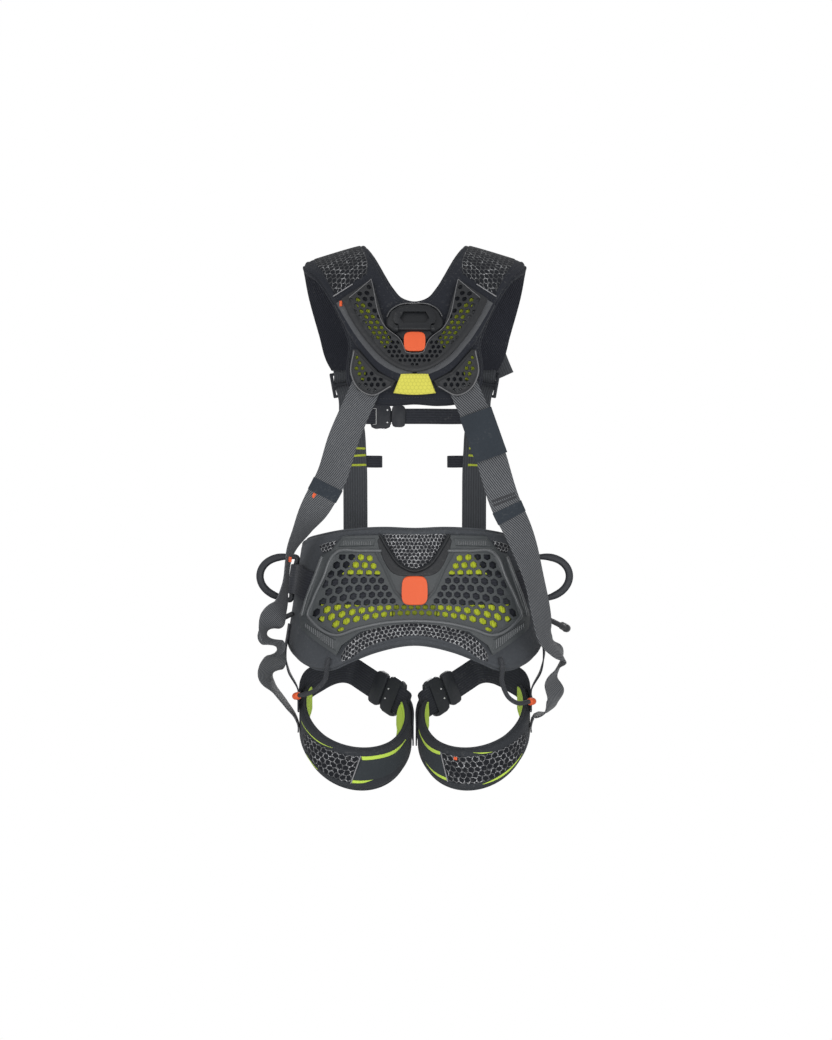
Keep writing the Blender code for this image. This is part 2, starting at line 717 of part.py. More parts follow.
def buckle(name, matrix, web, look):
    """A quick connect buckle: a frame on one strap, a tongue on the other, and two release levers."""
    half = web / 2 + BUCKLE_SIDE
    head = web / 2 - HEAD_INSET
    thick = BUCKLE_T / 2

    def put(part, mesh, material):
        item = add_object(f"{name}_{part}", mesh, look[material], round_shape=False)
        item.matrix_world = matrix
        return item

    frame = put("frame", cushion_block((-FRAME_L, -half), (0.0, half), thick, BUCKLE_CORNER), "metal")
    channel = head + FIT
    head_room = HEAD_T / 2 + FIT
    combine(frame, block((-HEAD_L - FIT, -channel, -head_room), (0.002, channel, head_room)), "DIFFERENCE")
    rest_in = half + LEVER_PROUD - LEVER_W
    pocket_in = rest_in - LEVER_TRAVEL - FIT
    pocket_x = (-LEVER_BACK - LEVER_L - FIT, -LEVER_BACK + FIT)
    for turn in (1, -1):
        y = sorted((turn * pocket_in, turn * (half + 0.002)))
        pocket = block((pocket_x[0], y[0], -LEVER_T / 2 - FIT), (pocket_x[1], y[1], LEVER_T / 2 + FIT))
        combine(frame, pocket, "DIFFERENCE")
    rear = -FRAME_L
    strap_top = 0.0005
    notch = [(rear - 0.002, -thick - 0.002), (rear + STRAP_INSERT + GAP, -thick - 0.002)]
    notch += [(rear + STRAP_INSERT + GAP, thick + 0.002), (rear + BAR_L, thick + 0.002)]
    notch += [(rear + BAR_L, strap_top), (rear - 0.002, strap_top)]
    combine(frame, prism(notch, -web / 2 - GAP, web / 2 + GAP, 1), "DIFFERENCE")

    nose = [(-HEAD_L, -head + 0.004), (-HEAD_L + 0.006, -head), (0.004, -head)]
    nose += [(x, -y) for x, y in reversed(nose)]
    tongue = put("tongue", prism(nose, -HEAD_T / 2, HEAD_T / 2), "metal")
    start = 0.001
    eye_top = -HEAD_T / 2 - 0.0008
    eye_low = eye_top - WEB_T - 2 * GAP
    cheek = web / 2 + TONGUE_CHEEK
    outline = rounded((start, -cheek), (start + TONGUE_L, cheek), TONGUE_CORNER)
    body = prism(outline, eye_low - TONGUE_WALL, HEAD_T / 2)
    combine(tongue, body, "UNION")
    eye = [(start - 0.002, eye_low), (start + TONGUE_L + 0.002, eye_low), (start + TONGUE_L + 0.002, eye_top)]
    eye += [(start + TONGUE_L - BAR_L, eye_top), (start + TONGUE_L - BAR_L, 0.01)]
    eye += [(start + BAR_L + 0.004, 0.01), (start + BAR_L + 0.004, eye_top), (start - 0.002, eye_top)]
    combine(tongue, prism(eye, -web / 2 - GAP, web / 2 + GAP, 1), "DIFFERENCE")

    upper = 1 if matrix[2][1] > 0 else -1
    for part, turn in (("lever_upper", upper), ("lever_lower", -upper)):
        y = sorted((turn * rest_in, turn * (half + LEVER_PROUD)))
        lever = block((-LEVER_BACK - LEVER_L, y[0], -LEVER_T / 2), (-LEVER_BACK, y[1], LEVER_T / 2))
        put(part, lever, "bright")
    return {
        "frame_strap": strap_top - GAP - WEB_T / 2,
        "tongue_strap": (eye_low + eye_top) / 2,
        "frame_end": rear + STRAP_INSERT,
        "tongue_start": start + BAR_L + 0.001,
        "tongue_clear": start + TONGUE_L + TONGUE_TRAVEL + 0.004,
    }


def strap_into_frame(matrix, seat, across):
    """The straight end of a strap in a buckle's frame, from outside to its end."""
    level = seat["frame_strap"]
    xs = (-FRAME_L - 0.008, -FRAME_L - 0.001, seat["frame_end"])
    return [(in_frame(matrix, x, 0.0, level), across) for x in xs]


def strap_through_tongue(matrix, seat, across, spare=0.0):
    """The straight run of a strap through a buckle's tongue, from its end to where the tongue can't reach."""
    level = seat["tongue_strap"]
    xs = np.linspace(seat["tongue_start"], seat["tongue_clear"] + spare, 5)
    return [(in_frame(matrix, x, 0.0, level), across) for x in xs]


def yoke(look):
    """The padded back panel with its perforated shells and the channel webbing between them."""
    neck = [(0.0, 0.1585), (-0.020, 0.165), (-0.033, 0.181), (-0.046, 0.205)]
    neck += [(-0.060, 0.240), (-0.071, 0.275)]
    top = [(-0.076, CREST + SEAM), (-0.169, CREST + SEAM)]
    outer = [(-0.166, 0.262), (-0.143, 0.210), (-0.120, 0.163), (-0.101, 0.118)]
    outer += [(-0.0955, 0.100), (-0.0985, 0.060)]
    foot = [(-0.096, 0.038), (-0.084, 0.022), (-0.064, 0.012), (-0.036, 0.0085), (0.0, 0.0105)]
    outline = mirrored(neck + top + outer + foot)
    plate("yoke_pad", look["pad"], torso, outline, 0.0, YOKE_PAD_T, edge=0.006, edge_share=0.55, fill=0.028)

    liner = [(0.0, 0.112), (-0.034, 0.113), (-0.0455, 0.1195), (-0.066, 0.183), (-0.0985, 0.162)]
    liner += [(-0.0900, 0.1392), (-0.0705, 0.1001), (-0.0446, 0.0692), (-0.0185, 0.0555), (-0.0195, 0.0440)]
    liner += [(-0.0300, 0.0378), (-0.0540, 0.0503), (-0.0825, 0.0790), (-0.0870, 0.0780), (-0.0905, 0.0550)]
    liner += [(-0.0800, 0.0350), (-0.0620, 0.0255), (-0.0330, 0.0290), (0.0, 0.0255)]
    high = YOKE_LINER_LOW + LINER_T
    plate("yoke_liner", look["liner"], torso, mirrored(liner), YOKE_LINER_LOW, high, fill=0.020)

    channel = [(-0.1043, 0.1642), (-0.0926, 0.1392), (-0.0705, 0.1001), (-0.0446, 0.0692), (-0.0191, 0.0551)]
    channel += [(-0.0035, 0.0515)]
    middle = YOKE_WEB_LOW + WEB_T / 2
    for name, side in SIDES.items():
        path = smooth_path([(x, up, 0.0) for x, up in channel], 20)
        centre = torso(-side * path[:, 0], path[:, 1], middle)
        step = np.gradient(path[:, :2], axis=0)
        reach = unit(np.stack([-step[:, 1], step[:, 0]], 1)) * 0.001
        over = torso(-side * (path[:, 0] + reach[:, 0]), path[:, 1] + reach[:, 1], middle)
        rings = ribbon_rings(centre, over - centre, CHANNEL_WEB, WEB_T)
        loft(f"yoke_strap_{name}", rings, look["twill"], twists=True)

    vee_inner = [(-0.0640, 0.1890), (-0.0425, 0.1180), (-0.0205, 0.0985), (-0.0130, 0.0815)]
    vee_outer = [(-0.0184, 0.0570), (-0.0434, 0.0708), (-0.0713, 0.0995)]
    vee_outer += [(-0.0963, 0.1370), (-0.1080, 0.1620)]
    vee = band_outline(vee_inner, vee_outer, 0.0800, 0.0535)
    field_inner = [(-0.0662, 0.1840), (-0.0452, 0.1185), (-0.0225, 0.0962), (-0.0145, 0.0785)]
    field_outer = [(-0.0160, 0.0640), (-0.0385, 0.0765), (-0.0630, 0.1035)]
    field_outer += [(-0.0865, 0.1395), (-0.0960, 0.1600)]
    field = band_outline(field_inner, field_outer, 0.0775, 0.0620)

    def fan_up(points):
        rate = (1.0 - YOKE_LEAST) / YOKE_FULL_AT
        rise = YOKE_LEAST / rate * (np.exp(rate * points[:, 1]) - 1.0)
        return np.stack([points[:, 0] * (YOKE_LEAST + rate * rise), rise + 0.0700], 1)

    holes = honeycomb(field, YOKE_PITCH, YOKE_HOLE, fan_up)
    plate("yoke_shell", look["shell"], torso, vee, YOKE_SHELL_LOW, YOKE_SHELL_HIGH, holes, fill=0.016)

    wing = [(-0.0900, 0.0870), (-0.0950, 0.0530), (-0.0840, 0.0310), (-0.0625, 0.0200), (-0.0335, 0.0320)]
    wing += [(-0.0275, 0.0415), (-0.0535, 0.0545), (-0.0825, 0.0860)]
    for name, side in SIDES.items():
        loop = np.array(wing) * (-side, 1.0)
        field = inset(loop, 0.0056)
        holes = honeycomb(field, WING_PITCH, WING_HOLE, lambda p: p + (0.0, 0.052))
        ridges = [(inset(loop, 0.0022), RIM_RAISE), (inset(loop, 0.0046), 0.0)]
        low, high = YOKE_SHELL_LOW, YOKE_SHELL_HIGH
        plate(f"yoke_wing_{name}", look["shell"], torso, loop, low, high, holes, ridges, fill=0.014)

    patch = [(0.0, 0.0470), (-0.0205, 0.0470), (-0.0310, 0.0250), (0.0, 0.0225)]
    low = YOKE_WEB_LOW + WEB_T + GAP + BOW_ROOM / 4
    high = low + PATCH_T
    plate("crossing_patch", look["liner"], torso, mirrored(patch), low, high, edge=0.003, edge_share=0.6)


def dorsal(look):
    """The dorsal plate with two lugs, and the flat ring that swings on its pin between them."""
    hub = [(0.0, 0.1515), (-0.022, 0.1500), (-0.036, 0.1410), (-0.0415, 0.1280), (-0.0410, 0.1190)]
    hub += [(-0.0180, 0.0995), (-0.0108, 0.0830), (0.0, 0.0820)]
    outline = mirrored(hub)
    low, high = YOKE_WEB_LOW, HUB_HIGH
    item = plate("dorsal_plate", look["shell"], torso, outline, low, high, edge=0.003, edge_share=0.7)
    height = HUB_HIGH + GAP + DORSAL_PIN_R
    base = torso(0.0, DORSAL_HINGE_UP, height)
    upward = unit(torso(0.0, DORSAL_HINGE_UP + 0.010, height) - base)
    matrix = frame_at(base, (1.0, 0.0, 0.0), np.cross((1.0, 0.0, 0.0), upward))
    lug_out = DORSAL_PIN_HALF + GAP
    lug_in = lug_out - DORSAL_LUG_W
    lug_r = DORSAL_PIN_R + PIN_CLEARANCE + 0.0022
    for side in SIDES.values():
        x = sorted((side * lug_in, side * lug_out))
        arch = [(-lug_r, -0.0085), (lug_r, -0.0085)]
        arch += [(lug_r * math.cos(a), lug_r * math.sin(a)) for a in np.linspace(0.0, math.pi, 9)]
        lug = prism(arch, x[0], x[1], 0)
        lug.transform(matrix)
        combine(item, lug, "UNION")
    bore = cylinder(DORSAL_PIN_R + PIN_CLEARANCE, -0.06, 0.06, 0, (0.0, 0.0), 16)
    bore.transform(matrix)
    combine(item, bore, "DIFFERENCE")

    wide, tall, neck = DORSAL_RING_HALF_WIDTH, DORSAL_RING_HEIGHT, lug_in - GAP
    arc = np.linspace(0.0, math.pi, 15)
    side_edge = [(neck, 0.0), (neck, lug_r + GAP), (wide - 0.002, lug_r + 0.0025)]
    oval = side_edge + [(wide * math.cos(a), 0.014 + (tall - 0.014) * math.sin(a)) for a in arc]
    oval += [(-x, y) for x, y in reversed(side_edge)]
    ring = add_object("dorsal_ring", prism(oval, -DORSAL_RING_T / 2, DORSAL_RING_T / 2), look["metal"], False)
    ring.matrix_world = matrix
    pin = cylinder(DORSAL_PIN_R, -DORSAL_PIN_HALF, DORSAL_PIN_HALF, 0, (0.0, 0.0), 16)
    combine(ring, pin, "UNION")
    slot = [(0.0160, 0.0085), (0.0215, 0.0150), (0.0160, 0.0250)]
    slot += [(-x, y) for x, y in reversed(slot)]
    combine(ring, prism(slot, -0.01, 0.01), "DIFFERENCE")
    print("dorsal hinge", np.round(base, 5), "up", np.round(upward, 4))


def front_station(side, x, up, lift):
    """A station of a strap on the chest, with its width across the body."""
    across = torso(x + 0.002, up, lift) - torso(x - 0.002, up, lift)
    return torso(side * x, up, lift), unit(across * (1.0, side, side))


def front_of_waist():
    """The distance around the waist as a function of x, over its front half, for interpolation."""
    along, x, _, _, _ = WAIST
    half = len(along) // 2
    return x[half:][::-1], along[half:][::-1]


def belt_up(around, z, height):
    """The way up the belt form, which leans in towards the top."""
    return unit(belt(around, z + 0.005, height) - belt(around, z - 0.005, height))


def shoulders(look):
    """The padded shoulder straps, their adjusters, the front straps and the tie in loops."""
    chest_up = up_at_front(CHEST_Z)
    adjuster_up = chest_up - ADJUSTER_ABOVE_CHEST
    pad_end = adjuster_up - ADJUSTER_HALF_L - ADJUSTER_PAD_GAP

    def down_pad(*stations):
        return [(x, CREST + share * (pad_end - CREST)) for x, share in stations]

    inner = [(0.0765, CREST + SEAM + GAP)]
    inner += down_pad((0.081, 0.2255), (0.086, 0.4978), (0.089, 0.7702), (0.091, 0.9489), (0.094, 1.0))
    outer = down_pad((0.131, 1.0), (0.1375, 0.9489), (0.149, 0.7702), (0.163, 0.4978), (0.168, 0.2255))
    outer += [(0.1685, CREST + SEAM + GAP)]
    wide = FRONT_WEB / 2
    for name, side in SIDES.items():
        loop = np.array(inner + outer) * (side, 1.0)
        shape = {"edge": 0.006, "edge_share": 0.55, "fill": 0.022}
        plate(f"shoulder_pad_{name}", look["pad"], torso, loop, 0.0, SHOULDER_PAD_T, **shape)

        seat, across = front_station(side, 0.109, adjuster_up, ON_SHOULDER + ADJUSTER_WEAVE)
        below = torso(side * 0.104, adjuster_up + 0.028, ON_SHOULDER + ADJUSTER_WEAVE)
        matrix = frame_at(seat, below - seat, np.cross(across, below - seat))
        corner = np.array((ADJUSTER_HALF_L, wide + 0.006, ADJUSTER_T / 2))
        body = block(-corner, corner, BUCKLE_EDGE)
        item = add_object(f"shoulder_adjuster_{name}", body, look["metal"], False)
        item.matrix_world = matrix
        window = (ADJUSTER_BAR / 2, ADJUSTER_HALF_L - ADJUSTER_BAR)
        for turn in (1, -1):
            x = sorted((turn * window[0], turn * window[1]))
            combine(item, block((x[0], -wide - 0.001, -0.01), (x[1], wide + 0.001, 0.01)), "DIFFERENCE")

        route = []
        high = down_pad((0.1180, 0.2042), (0.1190, 0.3191), (0.1190, 0.4383))
        high += down_pad((0.1175, 0.5447), (0.1160, 0.6510))
        for x, up in high:
            route.append(front_station(side, x, up, ON_SHOULDER))
        for x, up in down_pad((0.1145, 0.7574), (0.1130, 0.8638), (0.1115, 0.9404)):
            route.append(front_station(side, x, up, ON_SHOULDER + BOW_ROOM))
        across = np.array(matrix.to_3x3() @ Vector((0.0, 1.0, 0.0)))
        across = across if across[0] > 0 else -across
        weave = ADJUSTER_WEAVE
        way_in = [(-ADJUSTER_HALF_L - 0.005, -weave), (-ADJUSTER_HALF_L + 0.002, -weave)]
        way_in += [(-0.0092, 0.0), (-0.0015, weave)]
        for x, z in way_in + [(-x, z) for x, z in reversed(way_in)]:
            route.append((in_frame(matrix, x, 0.0, z), across))
        for x, below in ((0.1020, 0.007), (0.0990, 0.027)):
            route.append(front_station(side, x, up_at_front(CHEST_Z - below), ON_SHOULDER))
        below_chest = [(0.0970, 0.2120), (0.0960, 0.1960), (0.0955, 0.1800)]
        below_chest += [(0.0950, 0.1200), (0.0945, 0.0750)]
        for x, z in below_chest:
            route.append(front_station(side, x, up_at_front(z), ON_CHEST))
        at = np.interp(0.094, *front_of_waist())
        for z in (0.035, 0.0, -0.030):
            across = belt(side * (at - 0.002), z, 0.0) - belt(side * (at + 0.002), z, 0.0)
            route.append((belt(side * at, z, GAP + WEB_T / 2), across * side))
        ribbon(f"front_strap_{name}", route, FRONT_WEB, look["webbing"], step=0.024)

        base, across = front_station(side, 0.096, up_at_front(TIE_IN_Z), ON_CHEST + WEB_T + GAP)
        outward = unit(np.cross((0.0, 0.0, 1.0), across))
        loop = [(-0.014, 0.0), (0.004, 0.0), (0.020, 0.0), (0.030, -0.0015), (0.041, -0.0010)]
        loop += [(0.046, 0.0045), (0.041, 0.0115), (0.030, 0.0120), (0.018, 0.0065)]
        loop += [(0.006, TIE_IN_LAY), (-0.014, TIE_IN_LAY)]
        tie = [(base - side * inward * across + out * outward, (0.0, 0.0, 1.0)) for inward, out in loop]
        ribbon(f"tie_in_loop_{name}", tie, TIE_IN_WEB, look["webbing"])


def chest(look):
    """The chest strap in two halves with its quick connect buckle."""
    lift = ON_SHOULDER + WEB_T + GAP + BOW_ROOM
    up = up_at_front(CHEST_Z)
    y = torso(0.0, up, lift)[1] - CHEST_DROP
    matrix = frame_at((CHEST_BUCKLE_X, y, CHEST_Z), (1.0, 0.0, 0.0), (0.0, 1.0, 0.0))
    seat = buckle("chest_buckle", matrix, CHEST_WEB, look)
    upright = (0.0, 0.0, 1.0)

    def over_front_strap(side, x):
        point = torso(side * x, up, lift)
        across = torso(side * x, up - 0.005, lift) - torso(side * x, up + 0.005, lift)
        return (point[0], point[1], CHEST_Z), across

    route = [over_front_strap(LEFT, x) for x in (0.120, 0.111, 0.102)]
    ribbon("chest_strap_left", route + strap_into_frame(matrix, seat, upright), CHEST_WEB, look["webbing"])
    route = [over_front_strap(RIGHT, x) for x in (0.120, 0.111, 0.102, 0.084, 0.060)]
    route += list(reversed(strap_through_tongue(matrix, seat, upright)))
    ribbon("chest_strap_right", route, CHEST_WEB, look["webbing"])
    print("chest buckle", np.round(in_frame(matrix, 0.0, 0.0, 0.0), 5))


def lumbar(look):
    """The belt pad, its liner and the perforated lumbar shell."""
    top = [(0.0, 0.0885), (-0.050, 0.0900), (-0.105, 0.0870), (-0.170, 0.0775)]
    top += [(-0.240, 0.0680), (-0.290, 0.0580)]
    front = [(-0.320, 0.0420), (-0.331, 0.0100), (-0.323, -0.0250), (-0.295, -0.0500), (-0.245, -0.0740)]
    low = [(-0.198, -0.0940), (-0.152, -0.1130), (-0.130, -0.1190), (-0.108, -0.1170), (-0.090, -0.1080)]
    low += [(-0.050, -0.0900), (0.0, -0.0800)]
    outline = mirrored(top + front + low)
    seats = [(RING_AROUND, RING_Z + step * RING_HALF_HEIGHT) for step in (-1.0, -0.5, 0.0, 0.5, 1.0)]
    seats += [(GEAR_REAR, GEAR_Z), (GEAR_FRONT, GEAR_Z)]
    seats = np.concatenate([seats, np.array(seats) * (-1.0, 1.0)])
    shape = {"edge": 0.007, "edge_share": 0.55, "fill": 0.030}
    plate("belt_pad", look["pad"], belt, outline, 0.0, BELT_PAD_T, seats=seats, **shape)

    edge = [(0.0, 0.0270), (-0.0212, 0.0358), (-0.0387, 0.0594), (-0.0505, 0.0800), (-0.1045, 0.0784)]
    edge += [(-0.1240, 0.0560), (-0.1380, 0.0500), (-0.1735, -0.0405), (-0.1706, -0.0594), (-0.1155, -0.0960)]
    edge += [(-0.1080, -0.0815), (-0.0800, -0.0615), (-0.0434, -0.0525), (0.0, -0.0480)]
    shell = on_belt(mirrored(edge))
    high = BELT_LINER_LOW + LINER_T
    plate("belt_liner", look["liner"], belt, inset(shell, 0.006), BELT_LINER_LOW, high, fill=0.017)

    panel = [(-0.1141, 0.0509), (-0.0603, 0.0535), (-0.0487, 0.0325), (-0.0318, -0.0046), (-0.0168, -0.0200)]
    panel_low = [(-0.0490, -0.0440), (-0.0873, -0.0535), (-0.1124, -0.0620), (-0.1542, -0.0403)]
    panel_low += [(-0.1476, -0.0182), (-0.1308, 0.0172)]
    field = on_belt(band_outline(panel, panel_low, -0.0235, -0.0405))

    def fan_out(points):
        rate = (1.0 - LUMBAR_LEAST) / LUMBAR_FULL_AT
        side, p = np.sign(points[:, 0]), np.abs(points[:, 0])
        x = LUMBAR_LEAST / rate * (np.exp(rate * p) - 1.0)
        share = LUMBAR_LEAST + rate * x
        return np.stack([side * x, -0.0330 - 1.6 * x**2 + points[:, 1] * share], 1)

    holes = honeycomb(field, LUMBAR_PITCH, LUMBAR_HOLE, fan_out)
    ridges = [(inset(field, -0.0014), 0.0), (inset(field, -0.0040), RIM_RAISE), (inset(field, -0.0066), 0.0)]
    rib = [(-0.1338, 0.0480), (-0.1392, 0.0450), (-0.1705, -0.0375), (-0.1650, -0.0395)]
    bar = [(-0.1050, 0.0745), (-0.0560, 0.0758), (-0.0590, 0.0640), (-0.1120, 0.0622)]
    heel = [(-0.1655, -0.0565), (-0.1655, -0.0480), (-0.1150, -0.0735), (-0.1150, -0.0900)]
    for raised in (rib, bar, heel):
        for side in SIDES.values():
            loop = on_belt(np.array(raised) * (-side, 1.0))
            ridges += [(inset(loop, RIB_SLOPE), RIB_RAISE), (loop, 0.0)]
    plate("lumbar_shell", look["shell"], belt, shell, LUMBAR_LOW, LUMBAR_HIGH, holes, ridges, fill=0.016)


def waist(look):
    """The waist webbing from buckle to buckle round the back, the side rings on it and the gear loops."""
    upright = (0.0, 0.0, 1.0)
    y = belt(WAIST_HALF_ROUND, 0.0, WAIST_BUCKLE_STANDOFF)[1]
    middle = (FRAME_L - TONGUE_L) / 2
    matrix = frame_at((middle, y, 0.0), (1.0, 0.0, 0.0), (0.0, 1.0, 0.0))
    seat = buckle("waist_buckle", matrix, MAIN_WEB, look)

    flat = BELT_WEB_LOW + WEB_T / 2
    over = BELT_PAD_T + 2 * GAP + 2 * RING_BAR_R + GAP + WEB_T / 2
    rise = 0.020
    front = [(0.045, 0.0, flat), (0.090, 0.0, flat), (0.135, 0.0, flat), (0.170, 0.006, flat)]
    front += [(RING_AROUND - rise - 0.014, RING_Z, flat), (RING_AROUND - rise, RING_Z, flat)]
    front += [(RING_AROUND - 0.005, RING_Z, over), (RING_AROUND + 0.005, RING_Z, over)]
    front += [(RING_AROUND + rise, RING_Z, flat), (RING_AROUND + rise + 0.014, RING_Z, flat)]
    front += [(0.290, 0.006, flat), (0.325, 0.0, flat)]
    front += [(0.345, 0.0, 0.0140), (0.365, 0.0, 0.0092)]
    left_front = front + [(0.385, 0.0, 0.0085)]

    def station(around, z, height):
        return belt(around, z, height), belt_up(around, z, height)

    route = list(reversed(strap_into_frame(matrix, seat, upright)))
    route += [station(-a, z, h) for a, z, h in reversed(left_front)]
    route += [station(a, z, h) for a, z, h in [(0.0, 0.0, flat)] + front]
    route += list(reversed(strap_through_tongue(matrix, seat, upright)))
    ribbon("waist_webbing", route, MAIN_WEB, look["webbing"])
    print("waist buckle", np.round(in_frame(matrix, 0.0, 0.0, 0.0), 5))

    for name, side in SIDES.items():
        side_ring(name, side, look)
        gear_loop(name, side, look)


def side_ring(name, side, look):
    """A D ring whose straight bar lies under the waist webbing."""
    height = BELT_PAD_T + GAP + RING_BAR_R
    base = belt(side * RING_AROUND, RING_Z, height)
    upward = belt_up(side * RING_AROUND, RING_Z, height)
    out = belt(side * RING_AROUND, RING_Z, height + 0.01) - base
    out = unit(out - np.dot(out, upward) * upward)
    tall, reach = RING_HALF_HEIGHT, RING_REACH
    bow = np.linspace(-0.5 * math.pi, 0.5 * math.pi, 17)
    n = np.concatenate([reach * np.cos(bow) ** 0.8, np.zeros(4)])
    z = np.concatenate([tall * np.sin(bow), np.linspace(tall, -tall, 6)[1:-1]])
    centre = n[:, None] * out + z[:, None] * upward
    ahead = unit(np.roll(centre, -1, axis=0) - np.roll(centre, 1, axis=0))
    flat_way = np.cross(out, upward)
    in_plane = np.cross(ahead, flat_way)
    share = np.clip((n - 0.008) / 0.020, 0.0, 1.0)[:, None, None]
    wide = RING_BAR_R + (RING_BOW_HALF_WIDTH - RING_BAR_R) * share
    thick = RING_BAR_R + (RING_BOW_HALF_T - RING_BAR_R) * share
    angles = np.radians(22.5 + 45.0 * np.arange(8))[None, :, None]
    rings = centre[:, None] + wide * np.cos(angles) * in_plane[:, None] + thick * np.sin(angles) * flat_way
    item = loft(f"side_ring_{name}", rings, look["metal"], closed=True)
    item.location = base
    print("side ring", name, np.round(base, 5), "out", np.round(out, 4), "up", np.round(upward, 4))


def gear_loop(name, side, look):
    """A stiff hose loop hinged at both ends on the belt, with a thicker grip at its tip."""
    height = BELT_PAD_T + GAP + GEAR_HOSE_R
    rear, front = (belt(side * a, GEAR_Z, height) for a in (GEAR_REAR, GEAR_FRONT))
    out = np.array([side * 1.0, 0.0, 0.0])
    down = np.array([0.0, 0.0, -1.0])
    shares = [(0.0, 0.0), (0.04, 0.45), (0.20, 0.88), (0.36, 1.0)]
    shares += [(1.0 - along, reach) for along, reach in reversed(shares)]
    tip_x = abs(rear[0]) + GEAR_OUT
    points = []
    for along, reach in shares:
        base = rear + (front - rear) * along
        points.append(base - rear + out * (tip_x - abs(base[0])) * reach + down * GEAR_DROP * reach)
    count = 17
    path = smooth_path(points, count)
    share = np.linspace(0.0, 1.0, count)
    grip = np.clip((0.17 - np.abs(share - 0.5)) / 0.03, 0.0, 1.0)
    radii = GEAR_HOSE_R + (GEAR_GRIP_R - GEAR_HOSE_R) * grip
    item = tube(f"gear_loop_{name}", *round_ends(path, radii), look["hose"], sides=8)
    item.location = rear
    print("gear loop", name, np.round(rear, 5), np.round(front, 5))


# Stations of the back straps below the yoke: (point, the way of the width), from the photograph
BACK_ROUTE_LEFT = [
    ((-0.1043, -0.1310, 0.2188), (0.95, 0.0, -0.32)),
    ((-0.1222, -0.1260, 0.1635), (0.93, 0.05, -0.36)),
    ((-0.1418, -0.1190, 0.1270), (0.85, 0.30, -0.40)),
    ((-0.1660, -0.1080, 0.0857), (0.55, 0.75, -0.30)),
    ((-0.1870, -0.0900, 0.0455), (0.20, 0.97, -0.05)),
    ((-0.1930, -0.0830, 0.0050), (0.12, 0.99, 0.00)),
    ((-0.1990, -0.0850, -0.0244), (0.35, 0.90, -0.20)),
    ((-0.2110, -0.0900, -0.0460), (0.65, 0.55, -0.50)),
    ((-0.2210, -0.0860, -0.0660), (0.10, 0.98, -0.10)),
    ((-0.2140, -0.0720, -0.0800), (-0.45, 0.80, -0.40)),
    ((-0.2060, -0.0620, -0.0905), (0.05, 0.95, -0.30)),
    ((-0.2120, -0.0560, -0.1117), (0.55, 0.70, -0.45)),
    ((-0.2200, -0.0460, -0.1320), (0.40, 0.85, -0.30)),
    ((-0.2120, -0.0340, -0.1540), (0.00, 0.98, 0.10)),
    ((-0.1950, -0.0210, -0.1800), (0.00, 0.99, 0.05)),
]

BACK_ROUTE_RIGHT = [
    ((0.0975, -0.1320, 0.2335), (0.93, 0.0, 0.37)),
    ((0.1090, -0.1300, 0.2013), (0.93, 0.0, 0.37)),
    ((0.1324, -0.1260, 0.1270), (0.94, 0.1, 0.33)),
    ((0.1530, -0.1200, 0.0830), (0.90, 0.35, 0.25)),
    ((0.1760, -0.1130, 0.0138), (0.68, 0.72, 0.12)),
    ((0.1870, -0.1080, -0.0380), (0.65, 0.75, 0.15)),
    ((0.1930, -0.1040, -0.0690), (0.45, 0.80, 0.35)),
    ((0.2050, -0.0940, -0.0860), (0.10, 0.85, 0.50)),
    ((0.2200, -0.0780, -0.0990), (0.02, 0.97, 0.20)),
    ((0.2140, -0.0660, -0.1190), (0.20, 0.97, 0.00)),
    ((0.2050, -0.0600, -0.1390), (0.45, 0.88, 0.05)),
    ((0.2120, -0.0520, -0.1620), (0.60, 0.78, 0.05)),
    ((0.2060, -0.0380, -0.1830), (0.20, 0.97, -0.10)),
    ((0.1940, -0.0240, -0.1940), (0.10, 0.99, -0.05)),
]


def on_leg(side, degrees, rise, height):
    """A station of a strap that hangs down over a leg loop, with its width round the thigh."""
    angle = math.radians(degrees)
    across = leg(side, angle - 0.02, rise, height) - leg(side, angle + 0.02, rise, height)
    return leg(side, angle, rise, height), unit(across * (1.0, 1.0, 0.0))


def back_straps(look):
    """The grey straps from under the yoke's wings, past the hips and in loose folds to the leg loops."""
    middle = YOKE_WEB_LOW + WEB_T / 2
    on_pad = LEG_PAD_T + GAP + WEB_T / 2
    outside = on_pad + WEB_T + GAP + 2 * BOW_ROOM
    way = unit(np.array([0.019, -0.040]))
    reach = np.array([-way[1], way[0]]) * 0.002
    for name, side in SIDES.items():
        route = []
        for x, up in ((0.0700, 0.0360), (0.0770, 0.0210), (0.0850, 0.0040)):
            across = torso(x + reach[0], up + reach[1], middle) - torso(x - reach[0], up - reach[1], middle)
            route.append((torso(side * x, up, middle), across * (1.0, side, side)))
        route += BACK_ROUTE_LEFT if side == LEFT else BACK_ROUTE_RIGHT
        ends = ((3.0, 0.001, outside), (4.0, -0.011, on_pad), (5.0, -0.021, on_pad))
        route += [on_leg(side, *end) for end in ends]
        ribbon(f"back_strap_{name}", route, MAIN_WEB, look["twill"], step=0.020)

    (start, start_across), (end, end_across) = BACK_ROUTE_RIGHT[:2]
    start, end = np.array(start), np.array(end)
    way = unit(end - start)
    lift = np.array([0.0, -1.0, 0.0]) * (WEB_T / 2 + GAP + POCKET_T / 2 + BOW_ROOM)
    pocket = [(start + lift - way * 0.014, start_across), (start + lift + way * 0.005, start_across)]
    pocket += [(end + lift - way * 0.005, end_across), (end + lift + way * 0.009, end_across)]
    ribbon("label_pocket", pocket, MAIN_WEB + 0.004, look["pad"], thickness=POCKET_T)


